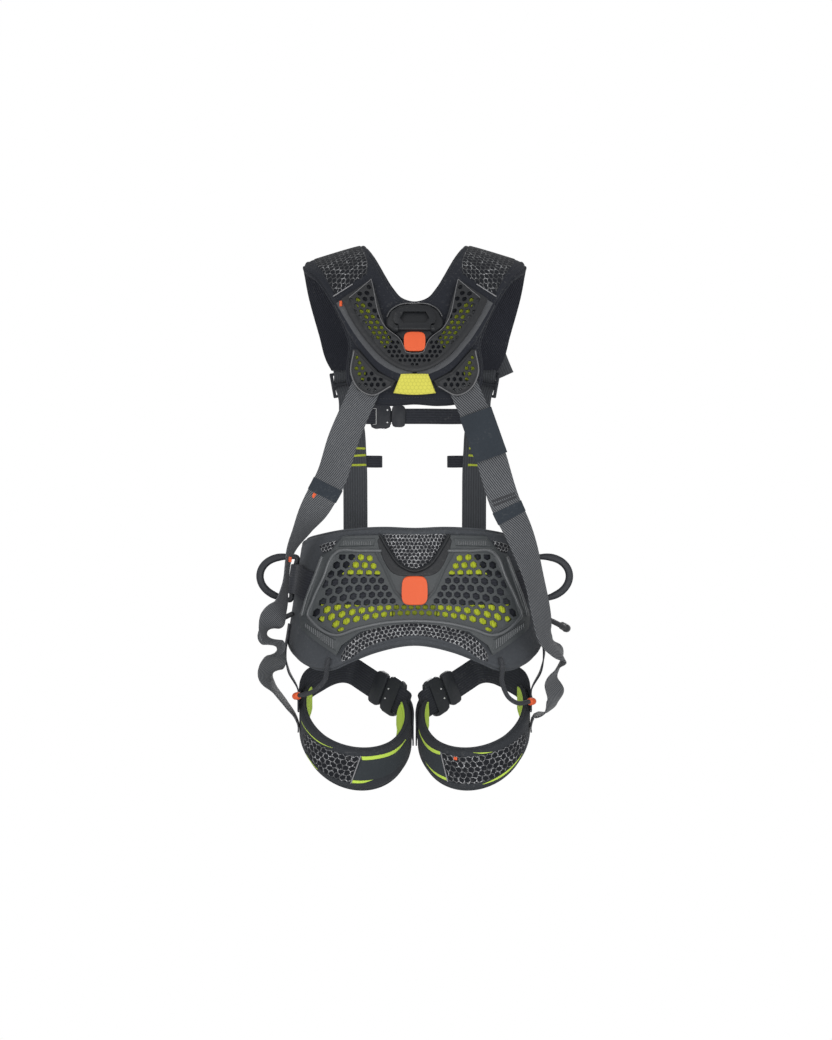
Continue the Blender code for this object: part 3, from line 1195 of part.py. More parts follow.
def leg_loops(look):
    """The leg pads, their straps and buckles, the links up to the belt and the elastic risers."""
    upright = (0.0, 0.0, 1.0)
    on_pad = LEG_PAD_T + GAP + WEB_T / 2 + BOW_ROOM / 2
    on_belt_pad = BELT_PAD_T + GAP + WEB_T / 2
    for name, side in SIDES.items():
        leg_pad(name, side, look)
        origin = leg(side, LEG_BUCKLE_AT, 0.0, LEG_BUCKLE_STANDOFF)
        ahead = leg(side, LEG_BUCKLE_AT + 0.05, 0.0, LEG_BUCKLE_STANDOFF) - origin
        outward = leg(side, LEG_BUCKLE_AT, 0.0, LEG_BUCKLE_STANDOFF + 0.01) - origin
        matrix = frame_at(origin, ahead, outward)
        seat = buckle(f"leg_buckle_{name}", matrix, MAIN_WEB, look)
        print("leg buckle", name, np.round(origin, 5), np.round(np.array(matrix.to_3x3()).T, 4).tolist())
        across = np.array(matrix.to_3x3() @ Vector((0.0, 1.0, 0.0)))
        across = across if across[2] > 0 else -across
        turns = np.radians((176.0, 184.0, 192.0, 199.0, 205.0))
        route = [(leg(side, turn, 0.0, on_pad), upright) for turn in turns]
        ribbon(f"leg_tab_{name}", route + strap_into_frame(matrix, seat, across), MAIN_WEB, look["webbing"])
        climb = ((-9.0, 0.0, on_pad), (-17.0, 0.004, on_pad), (-25.0, 0.011, on_pad))
        climb += ((-30.0, 0.014, on_pad - 0.001), (-44.0, 0.016, 0.006))
        route = [(leg(side, math.radians(a), rise, h), upright) for a, rise, h in climb]
        route += list(reversed(strap_through_tongue(matrix, seat, across, LEG_STRAP_SPARE)))
        ribbon(f"leg_strap_{name}", route, MAIN_WEB, look["webbing"])

        link = []
        for z in (-0.056, -0.076, -0.096):
            ahead = belt(side * 0.208, z, on_belt_pad) - belt(side * 0.204, z, on_belt_pad)
            link.append((belt(side * 0.206, z, on_belt_pad), ahead))
        link.append(((side * 0.1925, -0.028, -0.126), (0.0, 1.0, 0.0)))
        link += [on_leg(side, 7.0, rise, on_pad - BOW_ROOM / 2) for rise in (0.044, 0.026, 0.013)]
        ribbon(f"leg_link_{name}", link, LINK_WEB, look["webbing"])
        riser(name, side, look)


def leg_pad(name, side, look):
    """The padded part of a leg loop: a crowned band, widest at the rear."""
    count = 25
    angles = np.linspace(LEG_PAD_FROM, LEG_PAD_TO, count)
    share = np.linspace(0.0, 1.0, count)
    ends = LEG_PAD_OUTER + (LEG_PAD_INNER - LEG_PAD_OUTER) * share
    half = ends + (LEG_PAD_REAR - ends) * np.sin(math.pi * share) ** 1.5
    round_off = np.clip(np.minimum(share, 1.0 - share) / 0.035, 0.0, 1.0)
    half = half * (0.70 + 0.30 * np.sqrt(round_off))
    section = [(-0.86, 0.0), (-1.0, 0.45), (-0.80, 0.92), (-0.35, 1.0)]
    section += [(-across, out) for across, out in reversed(section)]
    rings = [leg(side, angles, half * across, LEG_PAD_T * out) for across, out in section]
    loft(f"leg_pad_{name}", np.stack(rings, 1), look["pad"])


# Points of the elastic risers between the belt pad and the leg loop, from the photograph
RISER_LEFT = [(-0.1320, -0.1050, -0.1330), (-0.1450, -0.0960, -0.1480), (-0.1600, -0.0800, -0.1570)]
RISER_LEFT += [(-0.1730, -0.0660, -0.1610)]
RISER_RIGHT = [(0.1290, -0.1070, -0.1380), (0.1380, -0.1010, -0.1590), (0.1530, -0.0880, -0.1700)]
RISER_RIGHT += [(0.1710, -0.0700, -0.1700)]


def riser(name, side, look):
    """An elastic cord from the tip of the belt pad to a toggle on the leg loop."""
    height = BELT_PAD_T + GAP + RISER_R
    points = [belt(side * 0.1110, -0.1010, height), belt(side * 0.1125, -0.1090, height)]
    points += RISER_LEFT if side == LEFT else RISER_RIGHT
    path = smooth_path(points, 16)
    tube(f"riser_cord_{name}", path, np.full(len(path), RISER_R), look["webbing"], sides=6)
    way = unit(path[-1] - path[-2])
    begin = path[-1] + way * GAP
    shares = np.array([0.0, 0.12, 0.5, 0.85, 1.0])
    radii = TOGGLE_R * np.array([0.75, 1.0, 1.0, 0.85, 0.55])
    tube(f"riser_toggle_{name}", begin + shares[:, None] * way * TOGGLE_L, radii, look["orange"], sides=8)


def main():
    for item in list(bpy.data.objects):
        bpy.data.objects.remove(item)
    look = materials()
    yoke(look)
    dorsal(look)
    shoulders(look)
    chest(look)
    lumbar(look)
    waist(look)
    back_straps(look)
    leg_loops(look)


main()
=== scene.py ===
"""A full body tree climbing harness, dressed and lit for a picture taken from behind.

Metres, +Z up. The climber faces +Y, so the back panels face -Y and the camera, and left is the
climber's left (-X). Foam, webbing, mesh, trim and cords are built here on the same waist, torso and
thigh forms as the CAD. The moulded and metal pieces are the CAD's own forms with their edges rounded,
each riding on its CAD body.
"""

import json
import math
from functools import partialmethod

import bmesh
import bpy
import numpy as np
from mathutils import Matrix, Vector

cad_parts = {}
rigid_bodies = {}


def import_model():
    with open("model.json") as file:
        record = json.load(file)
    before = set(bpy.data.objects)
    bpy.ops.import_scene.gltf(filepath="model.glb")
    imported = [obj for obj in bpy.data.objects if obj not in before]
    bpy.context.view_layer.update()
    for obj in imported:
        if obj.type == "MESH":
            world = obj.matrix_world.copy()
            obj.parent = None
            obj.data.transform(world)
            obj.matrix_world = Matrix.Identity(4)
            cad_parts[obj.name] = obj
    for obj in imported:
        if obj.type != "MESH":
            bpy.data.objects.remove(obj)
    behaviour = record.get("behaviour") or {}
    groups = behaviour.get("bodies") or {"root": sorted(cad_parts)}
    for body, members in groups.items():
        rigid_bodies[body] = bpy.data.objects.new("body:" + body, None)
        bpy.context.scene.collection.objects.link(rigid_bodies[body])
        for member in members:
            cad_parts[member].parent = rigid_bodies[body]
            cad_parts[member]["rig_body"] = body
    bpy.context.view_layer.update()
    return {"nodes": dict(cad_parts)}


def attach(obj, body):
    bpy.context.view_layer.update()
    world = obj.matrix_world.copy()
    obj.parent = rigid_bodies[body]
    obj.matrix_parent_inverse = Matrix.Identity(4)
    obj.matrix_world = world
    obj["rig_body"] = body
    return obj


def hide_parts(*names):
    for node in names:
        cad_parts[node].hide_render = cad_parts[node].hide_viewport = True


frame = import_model()

LEFT = -1
RIGHT = 1
SIDES = {"left": LEFT, "right": RIGHT}
UP = (0.0, 0.0, 1.0)
MM = 0.001

# Thicknesses, widths and clearances of the layers, as in the CAD
GAP = 0.0005
WEB_T = 0.0022
LINER_T = 0.0016
SHELL_T = 0.003
BOW_ROOM = 0.0010
YOKE_PAD_T = 0.012
SHOULDER_PAD_T = 0.011
BELT_PAD_T = 0.014
LEG_PAD_T = 0.011
MAIN_WEB = 0.045
FRONT_WEB = 0.040
CHEST_WEB = 0.025
LINK_WEB = 0.022
TIE_IN_WEB = 0.019
CHANNEL_WEB = 0.026
POCKET_T = 0.003
PATCH_T = 0.0025
HUB_T = 0.0075

# The climber's waist, torso and thighs, as in the CAD
WAIST_HALF_WIDTH = 0.169
WAIST_HALF_DEPTH = 0.112
WAIST_SQUARENESS = 2.3
HIP_FLARE = 0.9
BACK_Y = -0.130
SHOULDER_Y = -0.030
CHEST_Y = 0.110
YOKE_FOOT_Z = 0.262
SHOULDER_RISE = 0.249
BACK_BULGE = 1.6
SHOULDER_SLOPE = 0.31
SHOULDER_SLOPE_FROM = 0.075
SHOULDER_SLOPE_REACH = 0.11
SEAM = 0.010
THIGH_X = 0.0905
THIGH_Y = -0.012
THIGH_Z = -0.2085
THIGH_HALF_WIDTH = 0.075
THIGH_HALF_DEPTH = 0.090
REAR_DROP = 0.0555
INNER_DROP = 0.0125
LEG_PAD_REAR = 0.030
LEG_PAD_OUTER = 0.023
LEG_PAD_INNER = 0.023
LEG_PAD_FROM = math.radians(-24.0)
LEG_PAD_TO = math.radians(204.0)
LEG_BUCKLE_AT = math.radians(237.0)
LEG_BUCKLE_STANDOFF = 0.006
LEG_STRAP_SPARE = 0.008
RIB_RAISE = 0.0018
RIM_RAISE = 0.0022

# Rings, gear loops, adjusters, buckles and risers, as in the CAD
RING_Z = 0.012
RING_AROUND = 0.222
RING_BAR_R = 0.004
RING_REACH = 0.052
RING_HALF_HEIGHT = 0.0325
RING_BOW_HALF_WIDTH = 0.0058
RING_BOW_HALF_T = 0.0035
GEAR_Z = -0.040
GEAR_REAR = 0.190
GEAR_FRONT = 0.275
GEAR_HOSE_R = 0.0036
GEAR_GRIP_R = 0.0060
GEAR_OUT = 0.047
GEAR_DROP = 0.024
ADJUSTER_UP = 0.553
ADJUSTER_HALF_L = 0.020
ADJUSTER_WEAVE = 0.0045
TIE_IN_Z = 0.196
TIE_IN_LAY = WEB_T + 2 * GAP
FRAME_L = 0.034
BUCKLE_T = 0.009
STRAP_INSERT = 0.0095
TONGUE_L = 0.022
TONGUE_TRAVEL = 0.030
BAR_L = 0.0045
HEAD_T = 0.003
CHEST_Z = 0.269
CHEST_BUCKLE_X = -0.038
CHEST_DROP = 0.0075
WAIST_BUCKLE_STANDOFF = 0.010
RISER_R = 0.0034
TOGGLE_R = 0.0058
TOGGLE_L = 0.013

# Heights of the layers above the forms, as in the CAD
ON_SHOULDER = SHOULDER_PAD_T + GAP + WEB_T / 2 + BOW_ROOM / 2
ON_CHEST = 0.004
YOKE_LINER_LOW = YOKE_PAD_T + GAP
YOKE_WEB_LOW = YOKE_LINER_LOW + LINER_T + GAP
YOKE_SHELL_LOW = YOKE_WEB_LOW + WEB_T + BOW_ROOM + GAP
YOKE_SHELL_HIGH = YOKE_SHELL_LOW + SHELL_T
# The grey beads along the yoke shell's edges lie here; their light colour is painted highlight.
EDGE_HIGHLIGHT_AT = YOKE_SHELL_HIGH + 0.0002
HUB_HIGH = YOKE_WEB_LOW + HUB_T
BELT_LINER_LOW = BELT_PAD_T + GAP + BOW_ROOM / 4
BELT_WEB_LOW = BELT_LINER_LOW + LINER_T + GAP
LUMBAR_LOW = BELT_WEB_LOW + WEB_T + GAP + BOW_ROOM / 4
LUMBAR_HIGH = LUMBAR_LOW + SHELL_T

# How the soft goods are made up
NET_T = 0.0014
NET_EDGE = 0.0025
TRIM_EDGE = 0.002
BADGE_T = 0.0018
PIPING_R = 0.0009
BINDING_R = 0.0021
SEAM_INSET = 0.0085
STITCH_L = 0.0026
STITCH_PITCH = 0.0042
STITCH_R = 0.00034
RIM_T = 0.0020
HEM_TOP = 0.0012
HEM_FOOT = 0.0112
HEEL_RIBS = 15
BAR_RIBS = 13
GREEN_T = 0.0007
GREEN_EDGE = 0.001
SINK = 0.0004
SEAM_SINK = 0.0009
GROOVE_DEPTH = 0.0011
GROOVE_WIDTH = 0.0014
BINDING_AT = 0.42
HEM_OUT = 0.003
HEM_LAP = 0.0014
# The radius of the grey beads that are painted highlight lines on the yoke shell's edges.
EDGE_HIGHLIGHT_R = 0.0006
TAG_T = 0.0016
TACK_PROUD = 0.0012
SLEEVE_T = WEB_T + 0.0024


def unit(vectors):
    return vectors / np.linalg.norm(vectors, axis=-1, keepdims=True)


def distances(points):
    """The distance along a line of points, from its start to each of them."""
    return np.concatenate([[0.0], np.cumsum(np.linalg.norm(np.diff(points, axis=0), axis=1))])


def smooth_path(points, count=0, step=0.0):
    """Points on a smooth curve, a count of them or about a step apart.

    The curve is made of cubic Hermite pieces over the chord length.
    """
    points = np.asarray(points, float)
    along = distances(points[:, :3])
    slope = np.gradient(points, along, axis=0)
    at = np.linspace(0.0, along[-1], count or math.ceil(along[-1] / step) + 1)
    piece = np.clip(np.searchsorted(along, at, side="right") - 1, 0, len(along) - 2)
    length = (along[piece + 1] - along[piece])[:, None]
    f = (at - along[piece])[:, None] / length
    start, end = points[piece], points[piece + 1]
    start_slope, end_slope = slope[piece] * length, slope[piece + 1] * length
    return (
        (2 * f**3 - 3 * f**2 + 1) * start
        + (f**3 - 2 * f**2 + f) * start_slope
        + (3 * f**2 - 2 * f**3) * end
        + (f**3 - f**2) * end_slope
    )


def edge_line(points, count):
    """A smooth line through points on a form, evenly spaced."""
    points = np.asarray(points, float)
    return smooth_path(np.column_stack([points, np.zeros(len(points))]), count)[:, :2]


def mm(stations):
    """Stations given in millimetres, in metres."""
    return MM * np.array(stations, float)


def mirrored(line, side):
    """A line on a form with its x turned to a side."""
    return np.asarray(line) * (side, 1.0)


def both_sides(half):
    """A line from the left end to the right end, from its left half that ends on the middle line."""
    return np.concatenate([half, mirrored(half[-2::-1], LEFT)])


def waist_table():
    """Points and outward normals of half the waist, a superellipse, from the back's middle to the front."""
    angle = np.linspace(0.0, math.pi, 721)
    power = 2.0 / WAIST_SQUARENESS
    x = WAIST_HALF_WIDTH * np.abs(np.sin(angle)) ** power
    y = -WAIST_HALF_DEPTH * np.sign(np.cos(angle)) * np.abs(np.cos(angle)) ** power
    along = distances(np.stack([x, y], 1))
    way = unit(np.stack([np.gradient(x, along), np.gradient(y, along)], 1))
    return along, x, y, way[:, 1], -way[:, 0]


WAIST = waist_table()
WAIST_HALF_ROUND = WAIST[0][-1]


def belt(around, z, height):
    """A point at a distance around the waist from the middle of the back, at a height above the form."""
    around, z, height = np.broadcast_arrays(np.asarray(around, float), z, height)
    along, x, y, nx, ny = WAIST
    at = np.abs(around)
    flare = 1.0 - HIP_FLARE * z
    out_x = np.interp(at, along, x) * flare + np.interp(at, along, nx) * height
    out_y = np.interp(at, along, y) * flare + np.interp(at, along, ny) * height
    return np.stack([np.where(around < 0, -out_x, out_x), out_y, z], -1)


def on_belt(outline):
    """A line given as seen from behind, (x, z), as distances on the belt."""
    outline = np.asarray(outline, float)
    along, table_x, _, nx, _ = WAIST
    rear = len(along) // 2
    flat = np.abs(outline[:, 0]) / (1.0 - HIP_FLARE * outline[:, 1])
    around = np.sign(outline[:, 0]) * np.interp(flat, (table_x + nx * LUMBAR_HIGH)[:rear], along[:rear])
    return np.stack([around, outline[:, 1]], 1)


def belt_up(around, z, height):
    """The way up the belt form, which leans in towards the top."""
    return unit(belt(around, z + 0.005, height) - belt(around, z - 0.005, height))


def torso_table():
    """The torso profile in the YZ plane, from the yoke's foot over the shoulder and down to the waist."""
    foot, top = YOKE_FOOT_Z, YOKE_FOOT_Z + SHOULDER_RISE
    points = [
        (BACK_Y + 0.002, foot),
        (BACK_Y, foot + 0.038),
        (BACK_Y + 0.004, foot + 0.098),
        (BACK_Y + 0.016, foot + 0.158),
        (BACK_Y + 0.042, top - 0.037),
        (SHOULDER_Y, top),
        (SHOULDER_Y + 0.060, top - 0.015),
        (CHEST_Y - 0.035, top - 0.062),
        (CHEST_Y - 0.012, top - 0.122),
        (CHEST_Y - 0.002, top - 0.187),
        (CHEST_Y + 0.002, foot),
        (CHEST_Y + 0.004, foot - 0.080),
        (CHEST_Y + 0.004, foot - 0.160),
        (CHEST_Y + 0.002, foot - 0.240),
    ]
    path = smooth_path([(0.0, y, z) for y, z in points], 600)[:, 1:]
    along = distances(path)
    way = unit(np.gradient(path, along, axis=0))
    return along, path[:, 0], path[:, 1], -way[:, 1], way[:, 0]


TORSO = torso_table()
CREST = TORSO[0][np.argmax(TORSO[2])]


def torso(x, up, height):
    """A point at x and at a distance up the back (and on over the shoulder), at a height above the form."""
    x, up, height = np.broadcast_arrays(np.asarray(x, float), up, height)
    along, py, pz, ny, nz = TORSO
    y, z, ny, nz = (np.interp(up, along, column) for column in (py, pz, ny, nz))
    beyond = np.abs(x) - SHOULDER_SLOPE_FROM
    beyond = 0.5 * (beyond + np.hypot(beyond, 0.020))
    slope = SHOULDER_SLOPE * np.exp(-(((up - CREST) / SHOULDER_SLOPE_REACH) ** 2))
    out = height - BACK_BULGE * x**2
    return np.stack([x, y + ny * out, z - slope * beyond + nz * height], -1)


def up_at_front(z):
    """The distance along the torso profile of a height on the chest."""
    along, _, pz, _, _ = TORSO
    front = along > CREST
    return np.interp(-z, -pz[front], along[front])


def leg(side, angle, rise, height):
    """A point round a thigh: 0 at the outer side, a quarter turn at the rear, a half at the inner side."""
    angle, rise, height = np.broadcast_arrays(np.asarray(angle, float), rise, height)
    nx, ny = np.cos(angle) * THIGH_HALF_DEPTH, -np.sin(angle) * THIGH_HALF_WIDTH
    size = np.hypot(nx, ny)
    x = THIGH_X + THIGH_HALF_WIDTH * np.cos(angle) + nx / size * height
    y = THIGH_Y - THIGH_HALF_DEPTH * np.sin(angle) + ny / size * height
    z = THIGH_Z - REAR_DROP * np.sin(angle) + INNER_DROP * np.cos(angle) + rise
    return np.stack([side * x, y, z], -1)


THIGH_R = 0.085


def thigh(side):
    """The thigh as a form with distances: round it from its outer side, and up."""
    return lambda around, rise, height: leg(side, np.asarray(around) / THIGH_R, rise, height)


def frame_at(origin, way, outward):
    """A matrix with +X along way and +Z as near to outward as it can be."""
    x = Vector(way).normalized()
    z = Vector(outward)
    z = (z - x * z.dot(x)).normalized()
    matrix = Matrix((x, z.cross(x), z)).transposed().to_4x4()
    matrix.translation = Vector(origin)
    return matrix


def in_frame(matrix, x, y, z):
    return np.array(matrix @ Vector((x, y, z)))


class Sketch:
    """A node tree being drawn: each call adds one node and gives back one of its outputs."""

    def __init__(self, tree):
        self.tree = tree

    def put(self, socket, value):
        if isinstance(value, bpy.types.NodeSocket):
            self.tree.links.new(value, socket)
        else:
            socket.default_value = value

    def add(self, kind, inputs=(), out=0, **settings):
        node = self.tree.nodes.new("ShaderNode" + kind)
        for key, value in settings.items():
            setattr(node, key, value)
        for key, value in dict(inputs).items():
            self.put(node.inputs[key], value)
        return node.outputs[out]

    def math(self, operation, *values):
        return self.add("Math", enumerate(values), operation=operation)

    plus = partialmethod(math, "ADD")
    minus = partialmethod(math, "SUBTRACT")
    times = partialmethod(math, "MULTIPLY")
    over = partialmethod(math, "DIVIDE")
    times_plus = partialmethod(math, "MULTIPLY_ADD")

    def wave(self, value, pitch, turns=1.0):
        """A sine of the value, from 0 to 1 and back so many times in a pitch."""
        angle = self.times(self.over(value, pitch), turns * 2 * math.pi)
        return self.times_plus(self.math("SINE", angle), 0.5, 0.5)

    def vector(self, operation, *values, out=0):
        return self.add("VectorMath", enumerate(values), out, operation=operation)

    def scaled(self, vector, factor):
        return self.add("VectorMath", {0: vector, "Scale": factor}, operation="SCALE")

    def step(self, value, low, high):
        """0 below low and 1 above high, with a smooth change between them."""
        inputs = {"Value": value, "From Min": low, "From Max": high}
        return self.add("MapRange", inputs, interpolation_type="SMOOTHSTEP")

    def blend(self, share, first, second):
        return self.add("Mix", {0: share, 6: first, 7: second}, 2, data_type="RGBA")

    def noise(self, place, scale, detail=3.0):
        return self.add("TexNoise", {"Vector": place, "Scale": scale, "Detail": detail})

    def bump(self, height, distance, strength):
        return self.add("Bump", {"Strength": strength, "Distance": distance, "Height": height})

    def use(self, tree, **inputs):
        node = self.tree.nodes.new("ShaderNodeGroup")
        node.node_tree = tree
        for key, value in inputs.items():
            self.put(node.inputs[key], value)
        return node.outputs


def shader_group(name, draw, gives, **takes):
    """A shader node group: draw(sketch, place, *values) returns its outputs in order."""
    tree = bpy.data.node_groups.new(name, "ShaderNodeTree")
    tree.interface.new_socket("Place", in_out="INPUT", socket_type="NodeSocketVector")
    for socket, value in takes.items():
        made = tree.interface.new_socket(socket, in_out="INPUT", socket_type="NodeSocketFloat")
        made.default_value = value
    for socket in gives:
        tree.interface.new_socket(socket, in_out="OUTPUT", socket_type="NodeSocketFloat")
    start = tree.nodes.new("NodeGroupInput")
    end = tree.nodes.new("NodeGroupOutput")
    inputs = list(start.outputs)[: len(takes) + 1]
    for socket, value in zip(end.inputs, draw(Sketch(tree), *inputs)):
        tree.links.new(value, socket)
    return tree


def draw_twill(sketch, place, pitch, lean):
    """Diagonal ribs: the sine of x cos(lean) + y sin(lean), with a finer yarn across them."""
    x = sketch.add("SeparateXYZ", {0: place})
    y = x.node.outputs[1]
    along = sketch.times_plus(x, sketch.math("COSINE", lean), sketch.times(y, sketch.math("SINE", lean)))
    rib, yarn = sketch.wave(along, pitch), sketch.wave(x, pitch, 2.0)
    return rib, yarn, sketch.times_plus(yarn, 0.25, rib)


def draw_ribs(sketch, place, pitch, fine):
    """Ribs that run along x: the sine of y over the pitch, crossed by a fine weave along x."""
    x = sketch.add("SeparateXYZ", {0: place})
    y = x.node.outputs[1]
    rib = sketch.wave(y, pitch)
    weave = sketch.wave(sketch.plus(sketch.over(x, fine), sketch.over(y, pitch)), 1.0)
    return rib, sketch.times_plus(weave, 0.35, rib)


HALF_CELL = (0.5, math.sqrt(0.75), 0.5)
FLAT = (1.0, 1.0, 0.0)


def draw_net(sketch, place, pitch, thread):
    """Hexagonal cells: the nearer of two rectangular lattices of centres, and the distance to an edge.

    For an offset (x, y) from the centre of a cell the hexagonal distance is max(x, x / 2 + y sqrt(3) / 2),
    which is a half at the edge. A thread lies where the distance left is less than half the thread.
    """
    in_cells = sketch.scaled(place, sketch.over(1.0, pitch))
    offsets = []
    for lattice in (in_cells, sketch.vector("ADD", in_cells, HALF_CELL)):
        wrapped = sketch.vector("WRAP", lattice, HALF_CELL, [-half for half in HALF_CELL])
        offsets.append(sketch.vector("MULTIPLY", wrapped, FLAT))
    nearer = sketch.math("LESS_THAN", *(sketch.vector("LENGTH", offset, out=1) for offset in offsets))
    offset = sketch.add("Mix", {0: nearer, 4: offsets[1], 5: offsets[0]}, 1, data_type="VECTOR")
    size = sketch.vector("ABSOLUTE", offset)
    slanted = sketch.vector("DOT_PRODUCT", size, (0.5, math.sqrt(0.75), 0.0), out=1)
    straight = sketch.add("SeparateXYZ", {0: size})
    left = sketch.minus(0.5, sketch.math("MAXIMUM", slanted, straight))
    line = sketch.minus(1.0, sketch.step(sketch.over(left, thread), 0.25, 0.75))
    return line, sketch.math("MINIMUM", sketch.times(left, 2.0), 1.0)


def draw_handling(sketch, place, amount):
    """How evenly a surface has worn: slow patches and fine specks, as a factor about 1 and a dust mask."""
    slow = sketch.noise(place, 14.0, 2.0)
    fine = sketch.noise(place, 260.0)
    both = sketch.times_plus(slow, 0.7, sketch.times(fine, 0.3))
    swing = sketch.times(sketch.minus(both, 0.5), sketch.times(amount, 2.0))
    dust = sketch.times(sketch.step(fine, 0.56, 0.72), sketch.step(slow, 0.42, 0.62))
    return sketch.plus(swing, 1.0), dust


def draw_grain(sketch, place, size):
    """The spark eroded grain of a mould: fine noise with shallow pits."""
    noise = sketch.noise(place, sketch.over(1.0, size), 4.0)
    pits = sketch.add("TexVoronoi", {"Vector": place, "Scale": sketch.over(0.6, size)})
    return (sketch.times_plus(pits, 0.4, noise),)


TWILL = shader_group("twill weave", draw_twill, ["Rib", "Yarn", "Height"], Pitch=0.004, Lean=0.9)
RIBS = shader_group("ribbed weave", draw_ribs, ["Rib", "Height"], Pitch=0.003, Fine=0.001)
NET = shader_group("hexagon net", draw_net, ["Line", "Height"], Pitch=0.01, Thread=0.12)
HANDLING = shader_group("handling", draw_handling, ["Factor", "Dust"], Amount=0.2)
GRAIN = shader_group("mould grain", draw_grain, ["Height"], Size=0.001)


def opaque(colour, factor=1.0):
    """A colour times a factor, with full alpha."""
    return (*(factor * part for part in colour), 1.0)


def finish(name, fixed, draw, *values):
    """A material: draw(sketch, *values) returns what feeds its Principled shader, and fixed has plain values.

    The sketch knows the surface's UV and its place on the object.
    """
    material = bpy.data.materials.new(name)
    material.use_nodes = True
    sketch = Sketch(material.node_tree)
    sketch.uv = sketch.add("TexCoord", out="UV")
    sketch.place = sketch.uv.node.outputs["Object"]
    shader = material.node_tree.nodes["Principled BSDF"]
    for key, value in {**fixed, **draw(sketch, *values)}.items():
        sketch.put(shader.inputs[key], value)
    return material


DUST = (0.30, 0.29, 0.27)


def worn(sketch, colour, amount=0.25, most_dust=0.10):
    """A colour with uneven wear and a trace of dust, and the factor of the wear."""
    handling = sketch.use(HANDLING, Place=sketch.place, Amount=amount)
    varied = sketch.scaled(colour, handling["Factor"])
    return sketch.blend(sketch.times(handling["Dust"], most_dust), varied, opaque(DUST)), handling["Factor"]


def plain_cloth(sketch, colour, pitch, amount=0.25):
    """A woven face of small yarns."""
    weave = sketch.use(RIBS, Place=sketch.uv, Pitch=pitch, Fine=pitch * 0.8)
    yarns = sketch.blend(weave["Height"], opaque(colour, 0.72), opaque(colour, 1.15))
    height = sketch.times_plus(sketch.noise(sketch.place, 900.0), 0.5, weave["Height"])
    return {"Base Color": worn(sketch, yarns, amount)[0], "Normal": sketch.bump(height, 0.0003, 0.6)}


def ribbed_cloth(sketch, colour, pitch, depth=0.40):
    """A face of ribs that run along the piece, darker by the depth between them, which is painted shade in
    the grooves.
    """
    weave = sketch.use(RIBS, Place=sketch.uv, Pitch=pitch, Fine=0.0011)
    # Painted shade: the grooves between the ribs are darker by the depth.
    ribs = sketch.blend(weave["Rib"], opaque(colour, 1.0 - depth), opaque(colour, 1.0 + 0.7 * depth))
    return {"Base Color": worn(sketch, ribs)[0], "Normal": sketch.bump(weave["Height"], 0.0012 * depth, 0.7)}


def twill_webbing(sketch, dark, light, pitch, lean):
    """Webbing with diagonal ribs."""
    weave = sketch.use(TWILL, Place=sketch.uv, Pitch=pitch, Lean=lean)
    ribs = sketch.blend(sketch.step(weave["Rib"], 0.20, 0.80), opaque(dark), opaque(light))
    flecked = sketch.blend(sketch.times(weave["Yarn"], 0.18), ribs, opaque(dark, 0.6))
    return {"Base Color": worn(sketch, flecked, 0.20)[0], "Normal": sketch.bump(weave["Height"], 0.0004, 0.7)}


def net_cloth(sketch, colour, pitch, width, least=0.30, most=0.70, fade=0.0):
    """Dark spacer cloth under a net of pale uneven threads, which fade out where the piece starts."""
    drift = sketch.add("TexNoise", {"Vector": sketch.uv, "Scale": 240.0, "Detail": 1.0}, "Color")
    pulled = sketch.vector("MULTIPLY_ADD", drift, (pitch * 0.55,) * 3, sketch.uv)
    line = sketch.use(NET, Place=pulled, Pitch=pitch, Thread=width)["Line"]
    patchy = sketch.step(sketch.noise(sketch.uv, 60.0, 2.0), least, most)
    if fade:
        along = sketch.add("SeparateXYZ", {0: sketch.uv})
        patchy = sketch.times(patchy, sketch.step(along, 0.1 * fade, fade))
    glint = sketch.step(sketch.noise(sketch.uv, 620.0, 2.0), 0.38, 0.70)
    bright = sketch.times_plus(sketch.times(patchy, glint), 0.86, 0.08)
    shown = sketch.blend(sketch.times(line, bright), worn(sketch, colour)[0], opaque(PALE_THREAD))
    return {"Base Color": shown, "Normal": sketch.bump(line, 0.0010, 0.9)}


def pierced_cloth(sketch, colour, hole):
    """Bright mesh with small dark holes."""
    net = sketch.use(NET, Place=sketch.place, Pitch=0.0026, Thread=0.5)
    base, _ = worn(sketch, colour, 0.12, 0.03)
    shown = sketch.blend(sketch.step(net["Height"], 0.55, 0.95), base, opaque(hole))
    return {"Base Color": shown, "Normal": sketch.bump(net["Line"], 0.0004, 0.6)}


def embossed_cloth(sketch, colour, groove):
    """Smooth cloth pressed with hexagons."""
    net = sketch.use(NET, Place=sketch.uv, Pitch=0.0056, Thread=0.17)
    base, _ = worn(sketch, colour, 0.12, 0.03)
    shown = sketch.blend(sketch.times(net["Line"], 0.55), base, opaque(groove))
    return {"Base Color": shown, "Normal": sketch.bump(net["Height"], 0.0006, 0.6)}


def moulding(sketch, colour, roughness, size, amount=0.18):
    """Moulded plastic or rubber with a fine grain, smoother where hands have polished it."""
    grain = sketch.use(GRAIN, Place=sketch.place, Size=size)
    base, factor = worn(sketch, colour, amount, 0.06)
    rough = sketch.times(factor, roughness)
    return {"Base Color": base, "Roughness": rough, "Normal": sketch.bump(grain["Height"], 0.00025, 0.5)}


def machined(sketch, colour, roughness):
    """Metal with faint scratches that change its roughness."""
    scratch = sketch.noise(sketch.vector("MULTIPLY", sketch.place, (1.0, 1.0, 14.0)), 180.0)
    base, _ = worn(sketch, colour, 0.12, 0.04)
    rough = sketch.times(sketch.times_plus(scratch, 0.5, 0.75), roughness)
    return {"Base Color": base, "Roughness": rough, "Normal": sketch.bump(scratch, 0.00008, 0.4)}


def braid(sketch, colour):
    """A braided sheath: two sets of yarns that wind round the cord in opposite ways."""
    ways = [sketch.use(TWILL, Place=sketch.uv, Pitch=0.0022, Lean=lean)["Rib"] for lean in (0.75, -0.75)]
    height = sketch.math("MAXIMUM", *ways)
    yarns = sketch.blend(height, opaque(colour, 0.5), opaque(colour, 1.25))
    return {"Base Color": worn(sketch, yarns)[0], "Normal": sketch.bump(height, 0.0003, 0.6)}


